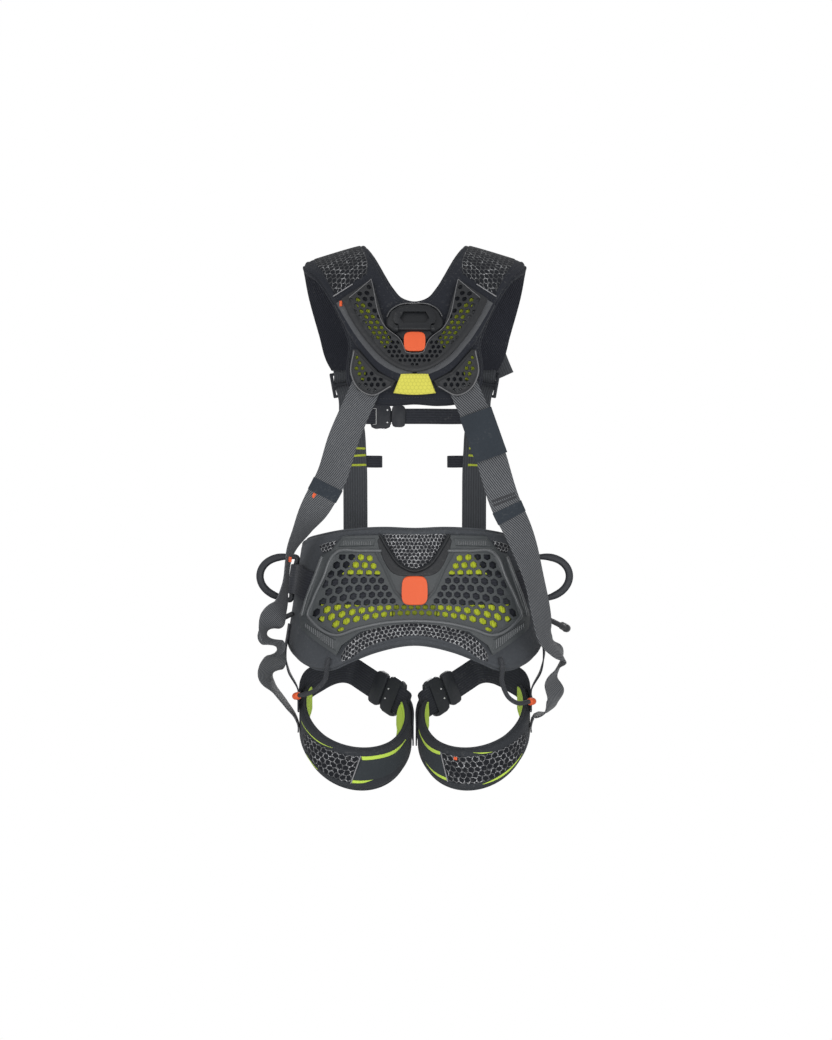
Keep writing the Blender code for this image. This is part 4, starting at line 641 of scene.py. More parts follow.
CLOTH = {"Roughness": 0.85, "Sheen Weight": 0.06, "Sheen Roughness": 0.45, "Specular IOR Level": 0.10}
WEB = {"Roughness": 0.70, "Sheen Weight": 0.05, "Sheen Roughness": 0.4, "Specular IOR Level": 0.14}
PLASTIC = {"Specular IOR Level": 0.30}
COATED = {"Specular IOR Level": 0.24}
POLISHED = {"Specular IOR Level": 0.6}
BARE = {"Metallic": 1.0}

PALE_THREAD = (0.72, 0.73, 0.75)
SPACER = (0.012, 0.013, 0.016)
BELT_SPACER = (0.022, 0.023, 0.027)
TWILL_TONES = ((0.030, 0.032, 0.036), (0.15, 0.156, 0.166))

LOOK = {
    # One black pad cloth in three tones: the belt's and the legs' copies are painted lighter than the yoke's,
    # as painted light.
    "pad": finish("black pad cloth", CLOTH, plain_cloth, (0.020, 0.022, 0.028), 0.0013),
    "belt pad": finish("black pad cloth painted lighter for the belt", CLOTH, plain_cloth, (0.062, 0.067, 0.075), 0.0013),
    "leg pad": finish("black pad cloth painted lighter for the legs", CLOTH, plain_cloth, (0.034, 0.037, 0.042), 0.0013),
    "ribbed": finish("black ribbed cloth", CLOTH, ribbed_cloth, (0.026, 0.028, 0.036), 0.0030),
    "net": finish("netted spacer cloth", CLOTH, net_cloth, SPACER, 0.0088, 0.15),
    "belt net": finish("fine netted cloth", CLOTH, net_cloth, BELT_SPACER, 0.0061, 0.22, 0.22, 0.60),
    "shoulder net": finish("broken net", CLOTH, net_cloth, SPACER, 0.0080, 0.15, 0.42, 0.70, 0.055),
    "panel": finish("dark grey panel cloth", CLOTH, plain_cloth, (0.036, 0.042, 0.047), 0.0011),
    "mesh": finish("yellow green mesh", CLOTH, pierced_cloth, (0.52, 0.60, 0.045), (0.16, 0.19, 0.012)),
    "dim mesh": finish("shaded green mesh", CLOTH, pierced_cloth, (0.28, 0.33, 0.030), (0.08, 0.10, 0.010)),
    "lining": finish("green lining cloth", CLOTH, plain_cloth, (0.50, 0.68, 0.095), 0.0014, 0.12),
    "patch": finish("yellow embossed cloth", CLOTH, embossed_cloth, (0.60, 0.57, 0.095), (0.41, 0.39, 0.065)),
    "twill": finish("grey twill", WEB, twill_webbing, *TWILL_TONES, 0.0029, 1.19),
    "left twill": finish("grey left twill", WEB, twill_webbing, *TWILL_TONES, 0.0026, 1.92),
    "channel": finish("grey channel webbing", WEB, ribbed_cloth, (0.080, 0.083, 0.089), 0.0016, 0.16),
    "webbing": finish("black webbing", WEB, ribbed_cloth, (0.026, 0.028, 0.035), 0.0040, 0.22),
    "front webbing": finish("dark grey webbing", WEB, ribbed_cloth, (0.060, 0.064, 0.071), 0.0040, 0.22),
    "label": finish("slate sleeve cloth", CLOTH, plain_cloth, (0.034, 0.041, 0.050), 0.0010),
    "piping": finish("grey piping", WEB, plain_cloth, (0.26, 0.26, 0.27), 0.0010, 0.12),
    # Light grey beads on the yoke shell's edges: their colour is painted highlight.
    "edge": finish("grey edge bead as painted highlight", PLASTIC, moulding, (0.13, 0.13, 0.135), 0.5, 0.0010),
    "tack": finish("yellow green thread", WEB, ribbed_cloth, (0.50, 0.58, 0.060), 0.0010),
    "thread": finish("dark thread", WEB, ribbed_cloth, (0.055, 0.057, 0.062), 0.0006),
    "cord": finish("black braid", WEB, braid, (0.036, 0.038, 0.043)),
    "shell": finish("dark belt shell", PLASTIC, moulding, (0.043, 0.048, 0.051), 0.46, 0.0011),
    # The ribs' colour is lighter than the shell's: painted highlight along the ridges.
    "rib": finish("shell rib lightened for painted highlight", POLISHED, moulding, (0.066, 0.071, 0.076), 0.36, 0.0011),
    "vee": finish("dark yoke shell", COATED, moulding, (0.016, 0.017, 0.019), 0.50, 0.0011),
    "hub": finish("black moulded hub", COATED, moulding, (0.008, 0.009, 0.011), 0.42, 0.0010),
    "gloss": finish("polished edge", POLISHED, moulding, (0.030, 0.031, 0.034), 0.22, 0.0016),
    "hose": finish("dark rubber hose", COATED, moulding, (0.024, 0.025, 0.028), 0.60, 0.0014),
    "orange": finish("orange rubber", PLASTIC, moulding, (0.67, 0.100, 0.028), 0.50, 0.0012, 0.08),
    "metal": finish("black coated metal", COATED, machined, (0.018, 0.020, 0.025), 0.46),
    "bright": finish("bare metal", BARE, machined, (0.62, 0.62, 0.63), 0.30),
}


def show(name, data):
    """A new object in the scene."""
    item = bpy.data.objects.new(name, data)
    bpy.context.scene.collection.objects.link(item)
    return item


def add_piece(name, points, faces, corner_uv, looks, face_looks=None, body="harness", nodes=(), slot=None):
    """A closed mesh with its faces turned outwards, riding on a CAD body and standing for CAD nodes."""
    mesh = bpy.data.meshes.new(name)
    mesh.from_pydata(np.asarray(points, float).tolist(), [], faces)
    if corner_uv is not None:
        mesh.uv_layers.new(name="UVMap").data.foreach_set("uv", np.asarray(corner_uv, np.float32).ravel())
    for look in looks:
        mesh.materials.append(LOOK[look])
    if face_looks is not None:
        mesh.polygons.foreach_set("material_index", np.asarray(face_looks, np.int32))
    shape = bmesh.new()
    shape.from_mesh(mesh)
    bmesh.ops.recalc_face_normals(shape, faces=shape.faces)
    shape.to_mesh(mesh)
    shape.free()
    mesh.shade_smooth()
    mesh.set_sharp_from_angle(angle=math.radians(50.0))
    item = show(name, mesh)
    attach(item, body)
    if nodes:
        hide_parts(*nodes)
    return item


def sweep(name, rings, along, around, looks, column_looks=None, closed=False, **kept):
    """A surface through rings of points (rows x columns x 3), each ring closed, with its ends capped.

    The UV of a corner is (distance along the rows, distance round the ring) in metres, so that weaves keep
    their size.
    """
    rings = np.asarray(rings, float)
    rows, columns = rings.shape[:2]
    around = np.broadcast_to(around, (rows, columns + 1))
    i, k = np.meshgrid(np.arange(rows if closed else rows - 1), np.arange(columns), indexing="ij")
    below, beside = (i + 1) % rows, (k + 1) % columns
    faces = [i * columns + k, i * columns + beside, below * columns + beside, below * columns + k]
    u = np.stack([along[i], along[i], along[i + 1], along[i + 1]], -1)
    v = np.stack([around[i, k], around[i, k + 1], around[below, k + 1], around[below, k]], -1)
    faces = np.stack(faces, -1).reshape(-1, 4).tolist()
    uv = np.stack([u, v], -1).reshape(-1, 2)
    face_looks = np.zeros(len(faces), int) if column_looks is None else np.tile(column_looks, len(i))
    if not closed:
        faces += [list(range(columns)), list(range((rows - 1) * columns, rows * columns))]
        ends = [np.stack([np.full(columns, along[row]), around[row, :-1]], 1) for row in (0, -1)]
        uv = np.concatenate([uv, *ends])
        face_looks = np.concatenate([face_looks, [0, 0]])
    return add_piece(name, rings.reshape(-1, 3), faces, uv, looks, face_looks, **kept)


def web_section(width, thickness):
    """The section of webbing, flat with half round selvedges, as (across, out), and distances round it."""
    r = thickness / 2
    turn = np.linspace(-0.5 * math.pi, 0.5 * math.pi, 7)
    selvedge = np.stack([width / 2 - r + r * np.cos(turn), r * np.sin(turn)], 1)
    flat = np.linspace(width / 2 - r, r - width / 2, 9)[1:-1]
    top = np.stack([flat, np.full(7, r)], 1)
    section = np.concatenate([selvedge, top, -selvedge, -top])
    return section, distances(np.concatenate([section, section[:1]]))


STRAPS = {}


def read_table(at, along, table):
    """The rows of a table, known at distances along a line, at other distances."""
    return np.stack([np.interp(at, along, column) for column in table.T], 1)


def strap(name, route, width, look, thickness=WEB_T, step=0.004, **kept):
    """Webbing along a route of (point, across) stations, with rounded selvedges."""
    stations = np.array([[*point, *unit(np.asarray(across, float))] for point, across in route])
    path = smooth_path(stations, step=step)
    centre, across = path[:, :3], path[:, 3:]
    tangent = unit(np.gradient(centre, axis=0))
    across = unit(across - np.sum(across * tangent, axis=1, keepdims=True) * tangent)
    normal = np.cross(tangent, across)
    section, around = web_section(width, thickness)
    rings = centre[:, None] + across[:, None] * section[:, :1] + normal[:, None] * section[:, 1:]
    STRAPS[name] = (distances(centre), centre, across)
    return sweep(name, rings, distances(centre), around, [look], **kept)


def web(name, node, route, width, look="webbing", slot="webbing", **kept):
    """Webbing that stands for a CAD strap."""
    strap(name, route, width, look, nodes=[node], slot=slot, **kept)


def along_strap(name, start, end, count):
    """Stations of a strap between two distances along it."""
    along, centre, across = STRAPS[name]
    at = np.linspace(start, end, count)
    return list(zip(read_table(at, along, centre), read_table(at, along, across)))


def nearest_along(name, point):
    """The distance along a strap of its point nearest to a given one."""
    along, centre, _ = STRAPS[name]
    return along[np.argmin(np.linalg.norm(centre - np.asarray(point), axis=1))]


def tube(name, path, radii, look, sides, **kept):
    """A round piece along a path with a radius at each point; the sides turn as little as they can."""
    path = np.asarray(path, float)
    radii = np.broadcast_to(radii, len(path))
    tangent = unit(np.gradient(path, axis=0))
    side = np.array(UP if abs(tangent[0][2]) < 0.8 else (1.0, 0.0, 0.0))
    sides_at = np.empty_like(path)
    for i, way in enumerate(tangent):
        side = unit(side - np.dot(side, way) * way)
        sides_at[i] = side
    other = np.cross(tangent, sides_at)
    angles = np.linspace(0.0, 2 * math.pi, sides, endpoint=False)
    circle = np.cos(angles)[:, None] * sides_at[:, None] + np.sin(angles)[:, None] * other[:, None]
    rings = path[:, None] + radii[:, None, None] * circle
    along = distances(np.concatenate([path, path[:1]]))
    around = np.linspace(0.0, 2 * math.pi, sides + 1) * float(np.mean(radii))
    return sweep(name, rings, along, around, [look], **kept)


def round_ends(path, radii):
    """A tube's path and radii with a half ball added at each end."""
    turns = np.radians((80.0, 60.0, 40.0, 20.0))
    radii = np.broadcast_to(radii, len(path))
    first, last = unit(path[1] - path[0]), unit(path[-1] - path[-2])
    start = path[0] - np.outer(np.sin(turns) * radii[0], first)
    end = path[-1] + np.outer(np.sin(turns[::-1]) * radii[-1], last)
    radii = np.concatenate([np.cos(turns) * radii[0], radii, np.cos(turns[::-1]) * radii[-1]])
    return np.concatenate([start, path, end]), radii


def cushion(name, place, first, second, thickness, looks, low=0.0, edge=0.006, fullness=2.6, counts=(120, 36),
            free_ends=(False, False), seam=0.0, **kept):
    """A soft piece between two edge lines on a form, flat below and rounded above.

    With d the distance to the nearest free edge, its height is
    low + thickness * (1 - (1 - min(d, edge) / edge) ** fullness) ** (1 / fullness),
    less a groove of Gaussian section where it is sewn down, at the distance seam from its edges.
    """
    rows, columns = counts
    first, second = edge_line(first, rows), edge_line(second, rows)
    share = np.linspace(0.0, 1.0, columns)
    share = 0.35 * share + 0.65 * (0.5 - 0.5 * np.cos(math.pi * share))
    flat = first[:, None] + (second - first)[:, None] * share[None, :, None]
    width = np.linalg.norm(second - first, axis=1)[:, None]
    d = width * np.minimum(share, 1.0 - share)
    middle = distances(0.5 * (first + second))
    for free, from_end in zip(free_ends, (middle, middle[-1] - middle)):
        d = np.minimum(d, from_end[:, None] if free else np.inf)
    full = (1.0 - (1.0 - np.clip(d / edge, 0.0, 1.0)) ** fullness) ** (1.0 / fullness)
    top = low + thickness * full
    if seam:
        top = top - GROOVE_DEPTH * np.exp(-(((d - seam) / GROOVE_WIDTH) ** 2))
    upper = place(flat[..., 0], flat[..., 1], top)
    lower = place(flat[:, -2:0:-1, 0], flat[:, -2:0:-1, 1], low)
    rings = np.concatenate([upper, lower], 1)
    back = 2.0 - share[-2::-1]
    around = width * np.concatenate([share, back])[None]
    column_looks = np.concatenate([np.zeros(columns - 1, int), np.full(columns - 1, len(looks) - 1)])
    return sweep(name, rings, middle, around, looks, column_looks, **kept)


def moulded(node, look, bevel=0.0005, segments=2):
    """A CAD node's own form, its doubles merged and its edges rounded, riding on the node's body."""
    shape = bmesh.new()
    shape.from_mesh(frame["nodes"][node].data)
    bmesh.ops.remove_doubles(shape, verts=shape.verts, dist=1e-6)
    mesh = bpy.data.meshes.new(node + "_form")
    shape.to_mesh(mesh)
    shape.free()
    mesh.materials.clear()
    mesh.materials.append(LOOK[look])
    mesh.shade_smooth()
    item = show(node + "_form", mesh)
    edge = item.modifiers.new("rounded edges", "BEVEL")
    edge.width = bevel
    edge.segments = segments
    edge.limit_method = "ANGLE"
    edge.angle_limit = math.radians(32.0)
    edge.harden_normals = True
    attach(item, frame["nodes"][node]["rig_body"])
    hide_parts(node)
    return item


def stitches(name, points, outward):
    """Short threads end to end along a line, each a slim spindle bowed a little out of the cloth.

    Along a stitch s goes from -1 to 1: its radius is r sqrt(1 - s^4) and it stands out by r (1 - s^2).
    """
    along = distances(points)
    at = np.arange(STITCH_PITCH / 2, along[-1], STITCH_PITCH)
    tables = (np.gradient(points, axis=0), points, outward)
    ways, centres, out = (read_table(at, along, table) for table in tables)
    ways = unit(ways)
    across = unit(np.cross(ways, out))
    out = np.cross(across, ways)
    rows, sides = 5, 6
    s = np.linspace(-0.98, 0.98, rows)[:, None]
    angles = np.linspace(0.0, 2 * math.pi, sides, endpoint=False)
    r = STITCH_R * np.sqrt(1.0 - s**4)
    lengthwise = s * STITCH_L / 2 * np.ones(sides)
    sideways = r * np.cos(angles)
    outwards = r * np.sin(angles) + STITCH_R * (1.0 - s**2)
    local = np.stack([lengthwise, sideways, outwards], -1).reshape(-1, 3)
    basis = np.stack([ways, across, out], 1)
    points = centres[:, None] + np.einsum("pk,nkc->npc", local, basis)
    i, k = np.meshgrid(np.arange(rows - 1) * sides, np.arange(sides), indexing="ij")
    n = (k + 1) % sides
    quads = np.stack([i + k, i + n, i + sides + n, i + sides + k], -1).reshape(-1, 4)
    offsets = rows * sides * np.arange(len(at))[:, None, None]
    faces = (quads + offsets).reshape(-1, 4).tolist()
    caps = np.stack([np.arange(sides), np.arange(sides) + (rows - 1) * sides])
    faces += (caps + offsets).reshape(-1, sides).tolist()
    add_piece(name, points.reshape(-1, 3), faces, None, ["thread"])


def on_form(place, line, height, count):
    """Points of a line on a form at a height above it, and the ways out of the form there."""
    flat = edge_line(line, count)
    low = place(flat[:, 0], flat[:, 1], height)
    return low, unit(place(flat[:, 0], flat[:, 1], height + 0.004) - low)


def trim(name, place, line, height, radius, look, count, **kept):
    """A round bead, binding or piping along a line on a form."""
    path, _ = on_form(place, line, height, count)
    tube(name, *round_ends(path, radius), look, 10, **kept)


def inset_line(first, second, distance, count):
    """The first edge line of a cushion, moved towards the second by a distance."""
    first, second = edge_line(first, count), edge_line(second, count)
    return first + unit(second - first) * distance


def bound_edges(part, tail, form, edges, thickness, look, counts, sewn=slice(None), inset=SEAM_INSET,
                sink=SEAM_SINK, binding_at=BINDING_AT):
    """The bindings of a pad's two named edges, and the seams stitched beside them on the sewn part."""
    bound, coarse, fine = counts
    lines = list(edges.values())
    for edge, line, other in zip(edges, lines, lines[::-1]):
        trim(f"{part}_{edge}_binding{tail}", form, line, thickness * binding_at, BINDING_R, look, bound)
        seam = inset_line(line, other, inset, coarse)[sewn]
        stitches(f"{part}_{edge}_seam{tail}", *on_form(form, seam, thickness - sink, fine))


def overlay(name, place, edges, thickness, look, low, edge, counts, **kept):
    """A thin piece on a form, with all of its edges free."""
    cushion(name, place, *edges, thickness, [look], low, edge, counts=counts, free_ends=(True, True), **kept)


def green(name, place, edges, liner_low, counts, look="mesh"):
    """Green mesh on a liner, seen through the holes of a shell."""
    overlay(name, place, edges, GREEN_T, look, liner_low + LINER_T - SINK, GREEN_EDGE, counts, slot="liner")


# The edges of the yoke's layers as (x, distance up the back), drawn for the left or the right side
SEAM_UP = (CREST + SEAM) / MM
NECKLINE = both_sides(mm([(-76, SEAM_UP), (-71, 275), (-60, 240), (-46, 205), (-33, 181), (-20, 165),
                          (0, 158.5)]))
YOKE_EDGE = both_sides(mm([(-169, SEAM_UP), (-166, 262), (-143, 210), (-120, 163), (-101, 118),
                           (-95.5, 100), (-98.5, 60), (-96, 38), (-84, 22), (-64, 12), (-36, 8.5),
                           (0, 10.5)]))
VEE_INNER = mm([(-64, 189), (-42.5, 118), (-20.5, 98.5), (-13, 81.5)])
VEE_FOOT = both_sides(mm([(-13, 81.5), (-6, 80), (0, 79.8)]))
VEE_OUTER = both_sides(mm([(-107, 160.5), (-96.3, 137), (-71.3, 99.5), (-43.4, 70.8), (-18.4, 57),
                           (0, 53.5)]))
VEE_FIELD = both_sides(mm([(-96.2, 160.5), (-86.7, 139.5), (-63.3, 103.5), (-38.8, 76.4), (-16.2, 63.8),
                           (0, 61.8)]))
ARM_END = mm([(-95.5, 163.2), (-80, 175.5), (-64, 188.8)])
WING_EDGE = mm([(-88.4, 83.5), (-92.5, 53.6), (-82.3, 32.7), (-62.5, 22.6), (-35.2, 33.8)])
CHANNEL = mm([(-104.3, 164.2), (-92.6, 139.2), (-70.5, 100.1), (-44.6, 69.2), (-19.1, 55.1), (-3.5, 51.5)])
SHOULDER_NET = (mm([(85, SEAM_UP - 6), (77.5, 262), (70, 226), (70.5, 203)]),
                mm([(154, SEAM_UP - 8), (149, 258), (134.5, 216), (118.5, 176)]))
SHOULDER_PIPING = mm([(120, 172.5), (106, 180.5), (92, 188.5)])
YOKE_GREEN = {
    "arm": (mm([(99, 160), (87, 138), (66, 106), (47, 86)]),
            mm([(85, 166.5), (63, 144), (44, 117), (33, 98)])),
    "wing": (mm([(87.2, 78), (90.5, 60), (86.5, 43)]),
             mm([(83.5, 79), (71.5, 64), (73, 44)])),
}
PATCH = (both_sides(mm([(-19.8, 51.5), (0, 51.8)])),
         both_sides(mm([(-31, 25), (-16, 23.3), (0, 22.5)])))
BROW = both_sides(mm([(-40, 133), (-36, 140), (-22, 149), (0, 150.5)]))


def yoke_side(name, side):
    """One side of the yoke: the shoulder's net, the channel webbing with its hem, a wing and grey beads on
    the edges, which are painted highlight lines.
    """
    edges = [mirrored(line, side) for line in SHOULDER_NET]
    overlay(f"shoulder_net_{name}", torso, edges, NET_T, "shoulder net", YOKE_PAD_T - SINK, NET_EDGE,
            (60, 40))
    piping = mirrored(SHOULDER_PIPING, side)
    trim(f"shoulder_piping_{name}", torso, piping, YOKE_PAD_T + NET_T, PIPING_R, "piping", 40)

    line = edge_line(CHANNEL, 20)
    step = np.gradient(line, axis=0)
    across = unit(np.stack([-step[:, 1], step[:, 0]], 1))
    middle = YOKE_WEB_LOW + WEB_T / 2
    centre, beside = (torso(-side * flat[:, 0], flat[:, 1], middle) for flat in (line, line + MM * across))
    route = list(zip(centre, beside - centre))
    web(f"channel_webbing_{name}", f"yoke_strap_{name}", route, CHANNEL_WEB, "channel", "twill")
    hem = np.linspace(HEM_TOP, HEM_FOOT, len(line))[:, None]
    edges = [mirrored(line - across * (CHANNEL_WEB / 2 + spare), -side) for spare in (-hem, HEM_OUT)]
    overlay(f"channel_hem_{name}", torso, edges, YOKE_WEB_LOW + WEB_T + HEM_LAP - YOKE_PAD_T, "pad",
            YOKE_PAD_T - SINK, 0.003, (120, 20))

    # Grey beads on the vee's inner edge and the arm's end, painted highlight lines.
    for part, points in (("vee", VEE_INNER), ("arm", ARM_END)):
        line = mirrored(points, -side)
        trim(f"{part}_piping_{name}", torso, line, EDGE_HIGHLIGHT_AT, EDGE_HIGHLIGHT_R, "edge", 90)
    moulded(f"yoke_wing_{name}", "vee")
    # The grey bead round the wing is a painted highlight line on its edge.
    trim(f"wing_edge_{name}", torso, mirrored(WING_EDGE, -side), YOKE_SHELL_HIGH + RIM_RAISE - SINK, PIPING_R,
         "edge", 90, slot="shell")


def yoke():
    """The padded back panel, its net, liner, channel webbing, shells and patch."""
    pad = cushion("yoke_foam", torso, NECKLINE, YOKE_EDGE, YOKE_PAD_T, ["pad"], counts=(260, 48),
                  seam=SEAM_INSET, nodes=["yoke_pad"], slot="pad")
    edges = {"neck": NECKLINE, "outer": YOKE_EDGE}
    bound_edges("yoke", "", torso, edges, YOKE_PAD_T, "pad", (260, 300, 600))
    for name, side in SIDES.items():
        yoke_side(name, side)
        for part, lines in YOKE_GREEN.items():
            edges = [mirrored(line, side) for line in lines]
            green(f"green_{part}_{name}", torso, edges, YOKE_LINER_LOW, (60, 24), "dim mesh")
    # The grey bead at the vee's foot is a painted highlight line.
    trim("vee_highlight_bead_foot", torso, VEE_FOOT, EDGE_HIGHLIGHT_AT, EDGE_HIGHLIGHT_R, "edge", 60)
    moulded("yoke_liner", "pad", 0.0003, 1)
    moulded("yoke_shell", "vee")
    overlay("vee_rim", torso, (VEE_OUTER, VEE_FIELD), RIM_T, "vee", YOKE_SHELL_HIGH - SINK, 0.0055, (220, 24),
            fullness=2.0, slot="shell")
    low = YOKE_WEB_LOW + WEB_T + GAP + BOW_ROOM / 4
    overlay("yellow_patch", torso, PATCH, PATCH_T, "patch", low, TRIM_EDGE, (60, 30),
            nodes=["crossing_patch"], slot="liner")
    tag = [(torso(-0.1085, up, YOKE_SHELL_LOW), (1.0, 0.0, 0.45)) for up in (0.160, 0.156, 0.152)]
    strap("channel_tag", tag, 0.0042, "orange", TAG_T, 0.002)


def badge(name, place, middle, half_width, half_height, low, thickness=BADGE_T):
    """A plain rounded rectangle: |x / w|^4 + |z / h|^4 = 1 about its middle."""
    x = half_width * np.sin(np.linspace(-0.5, 0.5, 41) * math.pi)
    z = half_height * (1.0 - np.abs(x / half_width) ** 4) ** 0.25 + 1e-5
    edges = [np.stack([x, middle + way * z], 1) for way in (1.0, -1.0)]
    cushion(name, place, *edges, thickness, ["orange"], low, TRIM_EDGE, counts=(64, 40), slot="orange")


def dorsal():
    """The dorsal plate, its slotted ring and a plain badge below them."""
    moulded("dorsal_plate", "hub", 0.0008, 3)
    moulded("dorsal_ring", "hub", 0.0009, 3)
    trim("dorsal_brow", torso, BROW, HUB_HIGH - 0.0008, 0.0012, "gloss", 120, slot="shell")
    badge("dorsal_badge", torso, 0.0964, 0.0155, 0.0140, HUB_HIGH - 0.0002)


def front_station(side, x, up, lift):
    """A station of a strap on the chest, with its width across the body."""
    across = torso(x + 0.002, up, lift) - torso(x - 0.002, up, lift)
    return torso(side * x, up, lift), unit(across * (1.0, side, side))


def front_of_waist():
    """x and the distance around the waist over its front half, for interpolation."""
    along, x, _, _, _ = WAIST
    half = len(along) // 2
    return x[half:][::-1], along[half:][::-1]


def adjuster_frame(side):
    """The frame of a shoulder adjuster, +X down the strap."""
    seat, across = front_station(side, 0.109, ADJUSTER_UP, ON_SHOULDER + ADJUSTER_WEAVE)
    below = torso(side * 0.104, ADJUSTER_UP + 0.028, ON_SHOULDER + ADJUSTER_WEAVE)
    return frame_at(seat, below - seat, np.cross(across, below - seat))


def front_route(side):
    """The front strap: under the adjuster's end bars, over its middle bar, and down the chest to the belt."""
    route = []
    for x, up in mm([(118, 345), (119, 372), (119, 400), (117.5, 425), (116, 450)]):
        route.append(front_station(side, x, up, ON_SHOULDER))
    for x, up in mm([(114.5, 475), (113, 500), (111.5, 518)]):
        route.append(front_station(side, x, up, ON_SHOULDER + BOW_ROOM))
    matrix = adjuster_frame(side)
    across = np.array(matrix.to_3x3() @ Vector((0.0, 1.0, 0.0)))
    across = across if across[0] > 0 else -across
    outer, weave = -ADJUSTER_HALF_L, ADJUSTER_WEAVE
    way_in = [(outer - 0.005, -weave), (outer + 0.002, -weave), (-0.0092, 0.0), (-0.0015, weave)]
    for x, z in way_in + [(-x, z) for x, z in reversed(way_in)]:
        route.append((in_frame(matrix, x, 0.0, z), across))
    for x, z in mm([(102, 262), (99, 242)]):
        route.append(front_station(side, x, up_at_front(z), ON_SHOULDER))
    for x, z in mm([(97, 212), (96, 196), (95.5, 180), (95, 120), (94.5, 75)]):
        route.append(front_station(side, x, up_at_front(z), ON_CHEST))
    at = np.interp(0.094, *front_of_waist())
    for z in (0.035, 0.0, -0.030):
        across = belt(side * (at - 0.002), z, 0.0) - belt(side * (at + 0.002), z, 0.0)
        route.append((belt(side * at, z, GAP + WEB_T / 2), across * side))
    return route


def bar_tack(name, strap_name, point, width, offset, look="tack", length=0.0034):
    """A row of close stitches across a strap and through it, a little proud of both of its faces."""
    at = nearest_along(strap_name, point)
    (start, across), _, (end, _) = along_strap(strap_name, at - length / 2, at + length / 2, 3)
    ends = [(spot + unit(across) * offset, across) for spot in (start, (start + end) / 2, end)]
    strap(name, ends, width, look, WEB_T + TACK_PROUD, 0.0012)


def sleeve(name, strap_name, point, length, width, thickness=SLEEVE_T, look="label"):
    """A plain sleeve of cloth that keeps a strap's loose end."""
    at = nearest_along(strap_name, point)
    stations = along_strap(strap_name, at - length / 2, at + length / 2, 6)
    strap(name, stations, width, look, thickness, 0.002)


# The keeper on each front strap and the loose end that it holds on the right, (x, z) on the chest
KEEPER_AT = (0.114, 0.396)
KEEPER_T = 4 * WEB_T + 2 * BOW_ROOM
TAIL_START = np.array((0.115, 0.402))
TAIL_END = np.array((0.140, 0.328))
TAIL_TURN = 0.60
TAIL_OUT = 0.011


def strap_tail():
    """The loose end of the right front strap.

    It leaves the keeper along the strap, bends outwards in a shallow curve and crosses the pad's edge, with
    its width turning from level to a slope as it goes.
    """
    tail = []
    for share in np.linspace(0.0, 1.0, 9):
        x, z = TAIL_START + (TAIL_END - TAIL_START) * (share**1.35, share)
        lift = ON_SHOULDER + BOW_ROOM + WEB_T + GAP + TAIL_OUT * share**1.5
        turn = TAIL_TURN * min(1.0, 1.5 * share)
        spot, level = front_station(RIGHT, x, up_at_front(z), lift)
        level = unit(level + (share, 0.0, 0.0))
        tail.append((spot, level * math.cos(turn) + (0.0, 0.0, math.sin(turn))))
    strap("shoulder_tail", tail, FRONT_WEB, "front webbing")


SHOULDER_TOP = (CREST + SEAM + GAP) / MM
SHOULDER_EDGES = {
    "inner": mm([(76.5, SHOULDER_TOP), (81, 350), (86, 414), (89, 478), (91, 520), (94, 532)]),
    "outer": mm([(168.5, SHOULDER_TOP), (168, 350), (163, 414), (149, 478), (137.5, 520), (131, 532)]),
}
# The tie in loop as (inwards, out of the chest)
TIE_IN_LOOP = [(-0.014, 0.0), (0.004, 0.0), (0.020, 0.0), (0.030, -0.0015), (0.041, -0.0010), (0.046, 0.0045),
               (0.041, 0.0115), (0.030, 0.0120), (0.018, 0.0065), (0.006, TIE_IN_LAY), (-0.014, TIE_IN_LAY)]


def shoulders():
    """The padded shoulder straps, their adjusters, the front straps and the tie in loops."""
    for name, side in SIDES.items():
        edges = {edge: mirrored(line, side) for edge, line in SHOULDER_EDGES.items()}
        pad = cushion(f"shoulder_foam_{name}", torso, *edges.values(), SHOULDER_PAD_T, ["ribbed"],
                      counts=(150, 40), free_ends=(False, True), seam=SEAM_INSET,
                      nodes=[f"shoulder_pad_{name}"], slot="pad")
        bound_edges("shoulder", f"_{name}", torso, edges, SHOULDER_PAD_T, "pad", (120, 120, 240),
                    slice(None, -5))
        moulded(f"shoulder_adjuster_{name}", "metal", 0.0008, 2)

        front = f"front_webbing_{name}"
        web(front, f"front_strap_{name}", front_route(side), FRONT_WEB, "front webbing", step=0.003)
        for number, z in enumerate((0.2162, 0.2034, 0.1905)):
            spot = torso(side * 0.096, up_at_front(z), ON_CHEST)
            bar_tack(f"front_tack_{name}_{number}", front, spot, 0.030, 0.004)
        x, z = KEEPER_AT
        spot = torso(side * x, up_at_front(z), ON_SHOULDER)
        sleeve(f"shoulder_keeper_{name}", front, spot, 0.020, FRONT_WEB + 0.005, KEEPER_T, "ribbed")
        if side == LEFT:
            bar_tack("chest_tack", front, torso(-0.102, up_at_front(0.262), ON_SHOULDER), 0.0085, 0.015)
        else:
            strap_tail()

        base, across = front_station(side, 0.096, up_at_front(TIE_IN_Z), ON_CHEST + WEB_T + GAP)
        outward = unit(np.cross(UP, across))
        tie = [(base - side * inward * across + out * outward, UP) for inward, out in TIE_IN_LOOP]
        web(f"tie_in_webbing_{name}", f"tie_in_loop_{name}", tie, TIE_IN_WEB, step=0.002)


BUCKLE_FRAME_STRAP = 0.0005 - GAP - WEB_T / 2
TONGUE_EYE_TOP = -HEAD_T / 2 - 0.0008
TONGUE_STRAP = TONGUE_EYE_TOP - WEB_T / 2 - GAP


def strap_into_frame(matrix, across):
    """The straight end of a strap in a buckle's frame, from outside to its end."""
    xs = (-FRAME_L - 0.008, -FRAME_L - 0.001, -FRAME_L + STRAP_INSERT)
    return [(in_frame(matrix, x, 0.0, BUCKLE_FRAME_STRAP), across) for x in xs]


def strap_through_tongue(matrix, across, spare=0.0):
    """The straight run of a strap through a buckle's tongue, from its end to where the tongue can't reach."""
    xs = np.linspace(0.002 + BAR_L, 0.005 + TONGUE_L + TONGUE_TRAVEL + spare, 5)
    return [(in_frame(matrix, x, 0.0, TONGUE_STRAP), across) for x in xs]


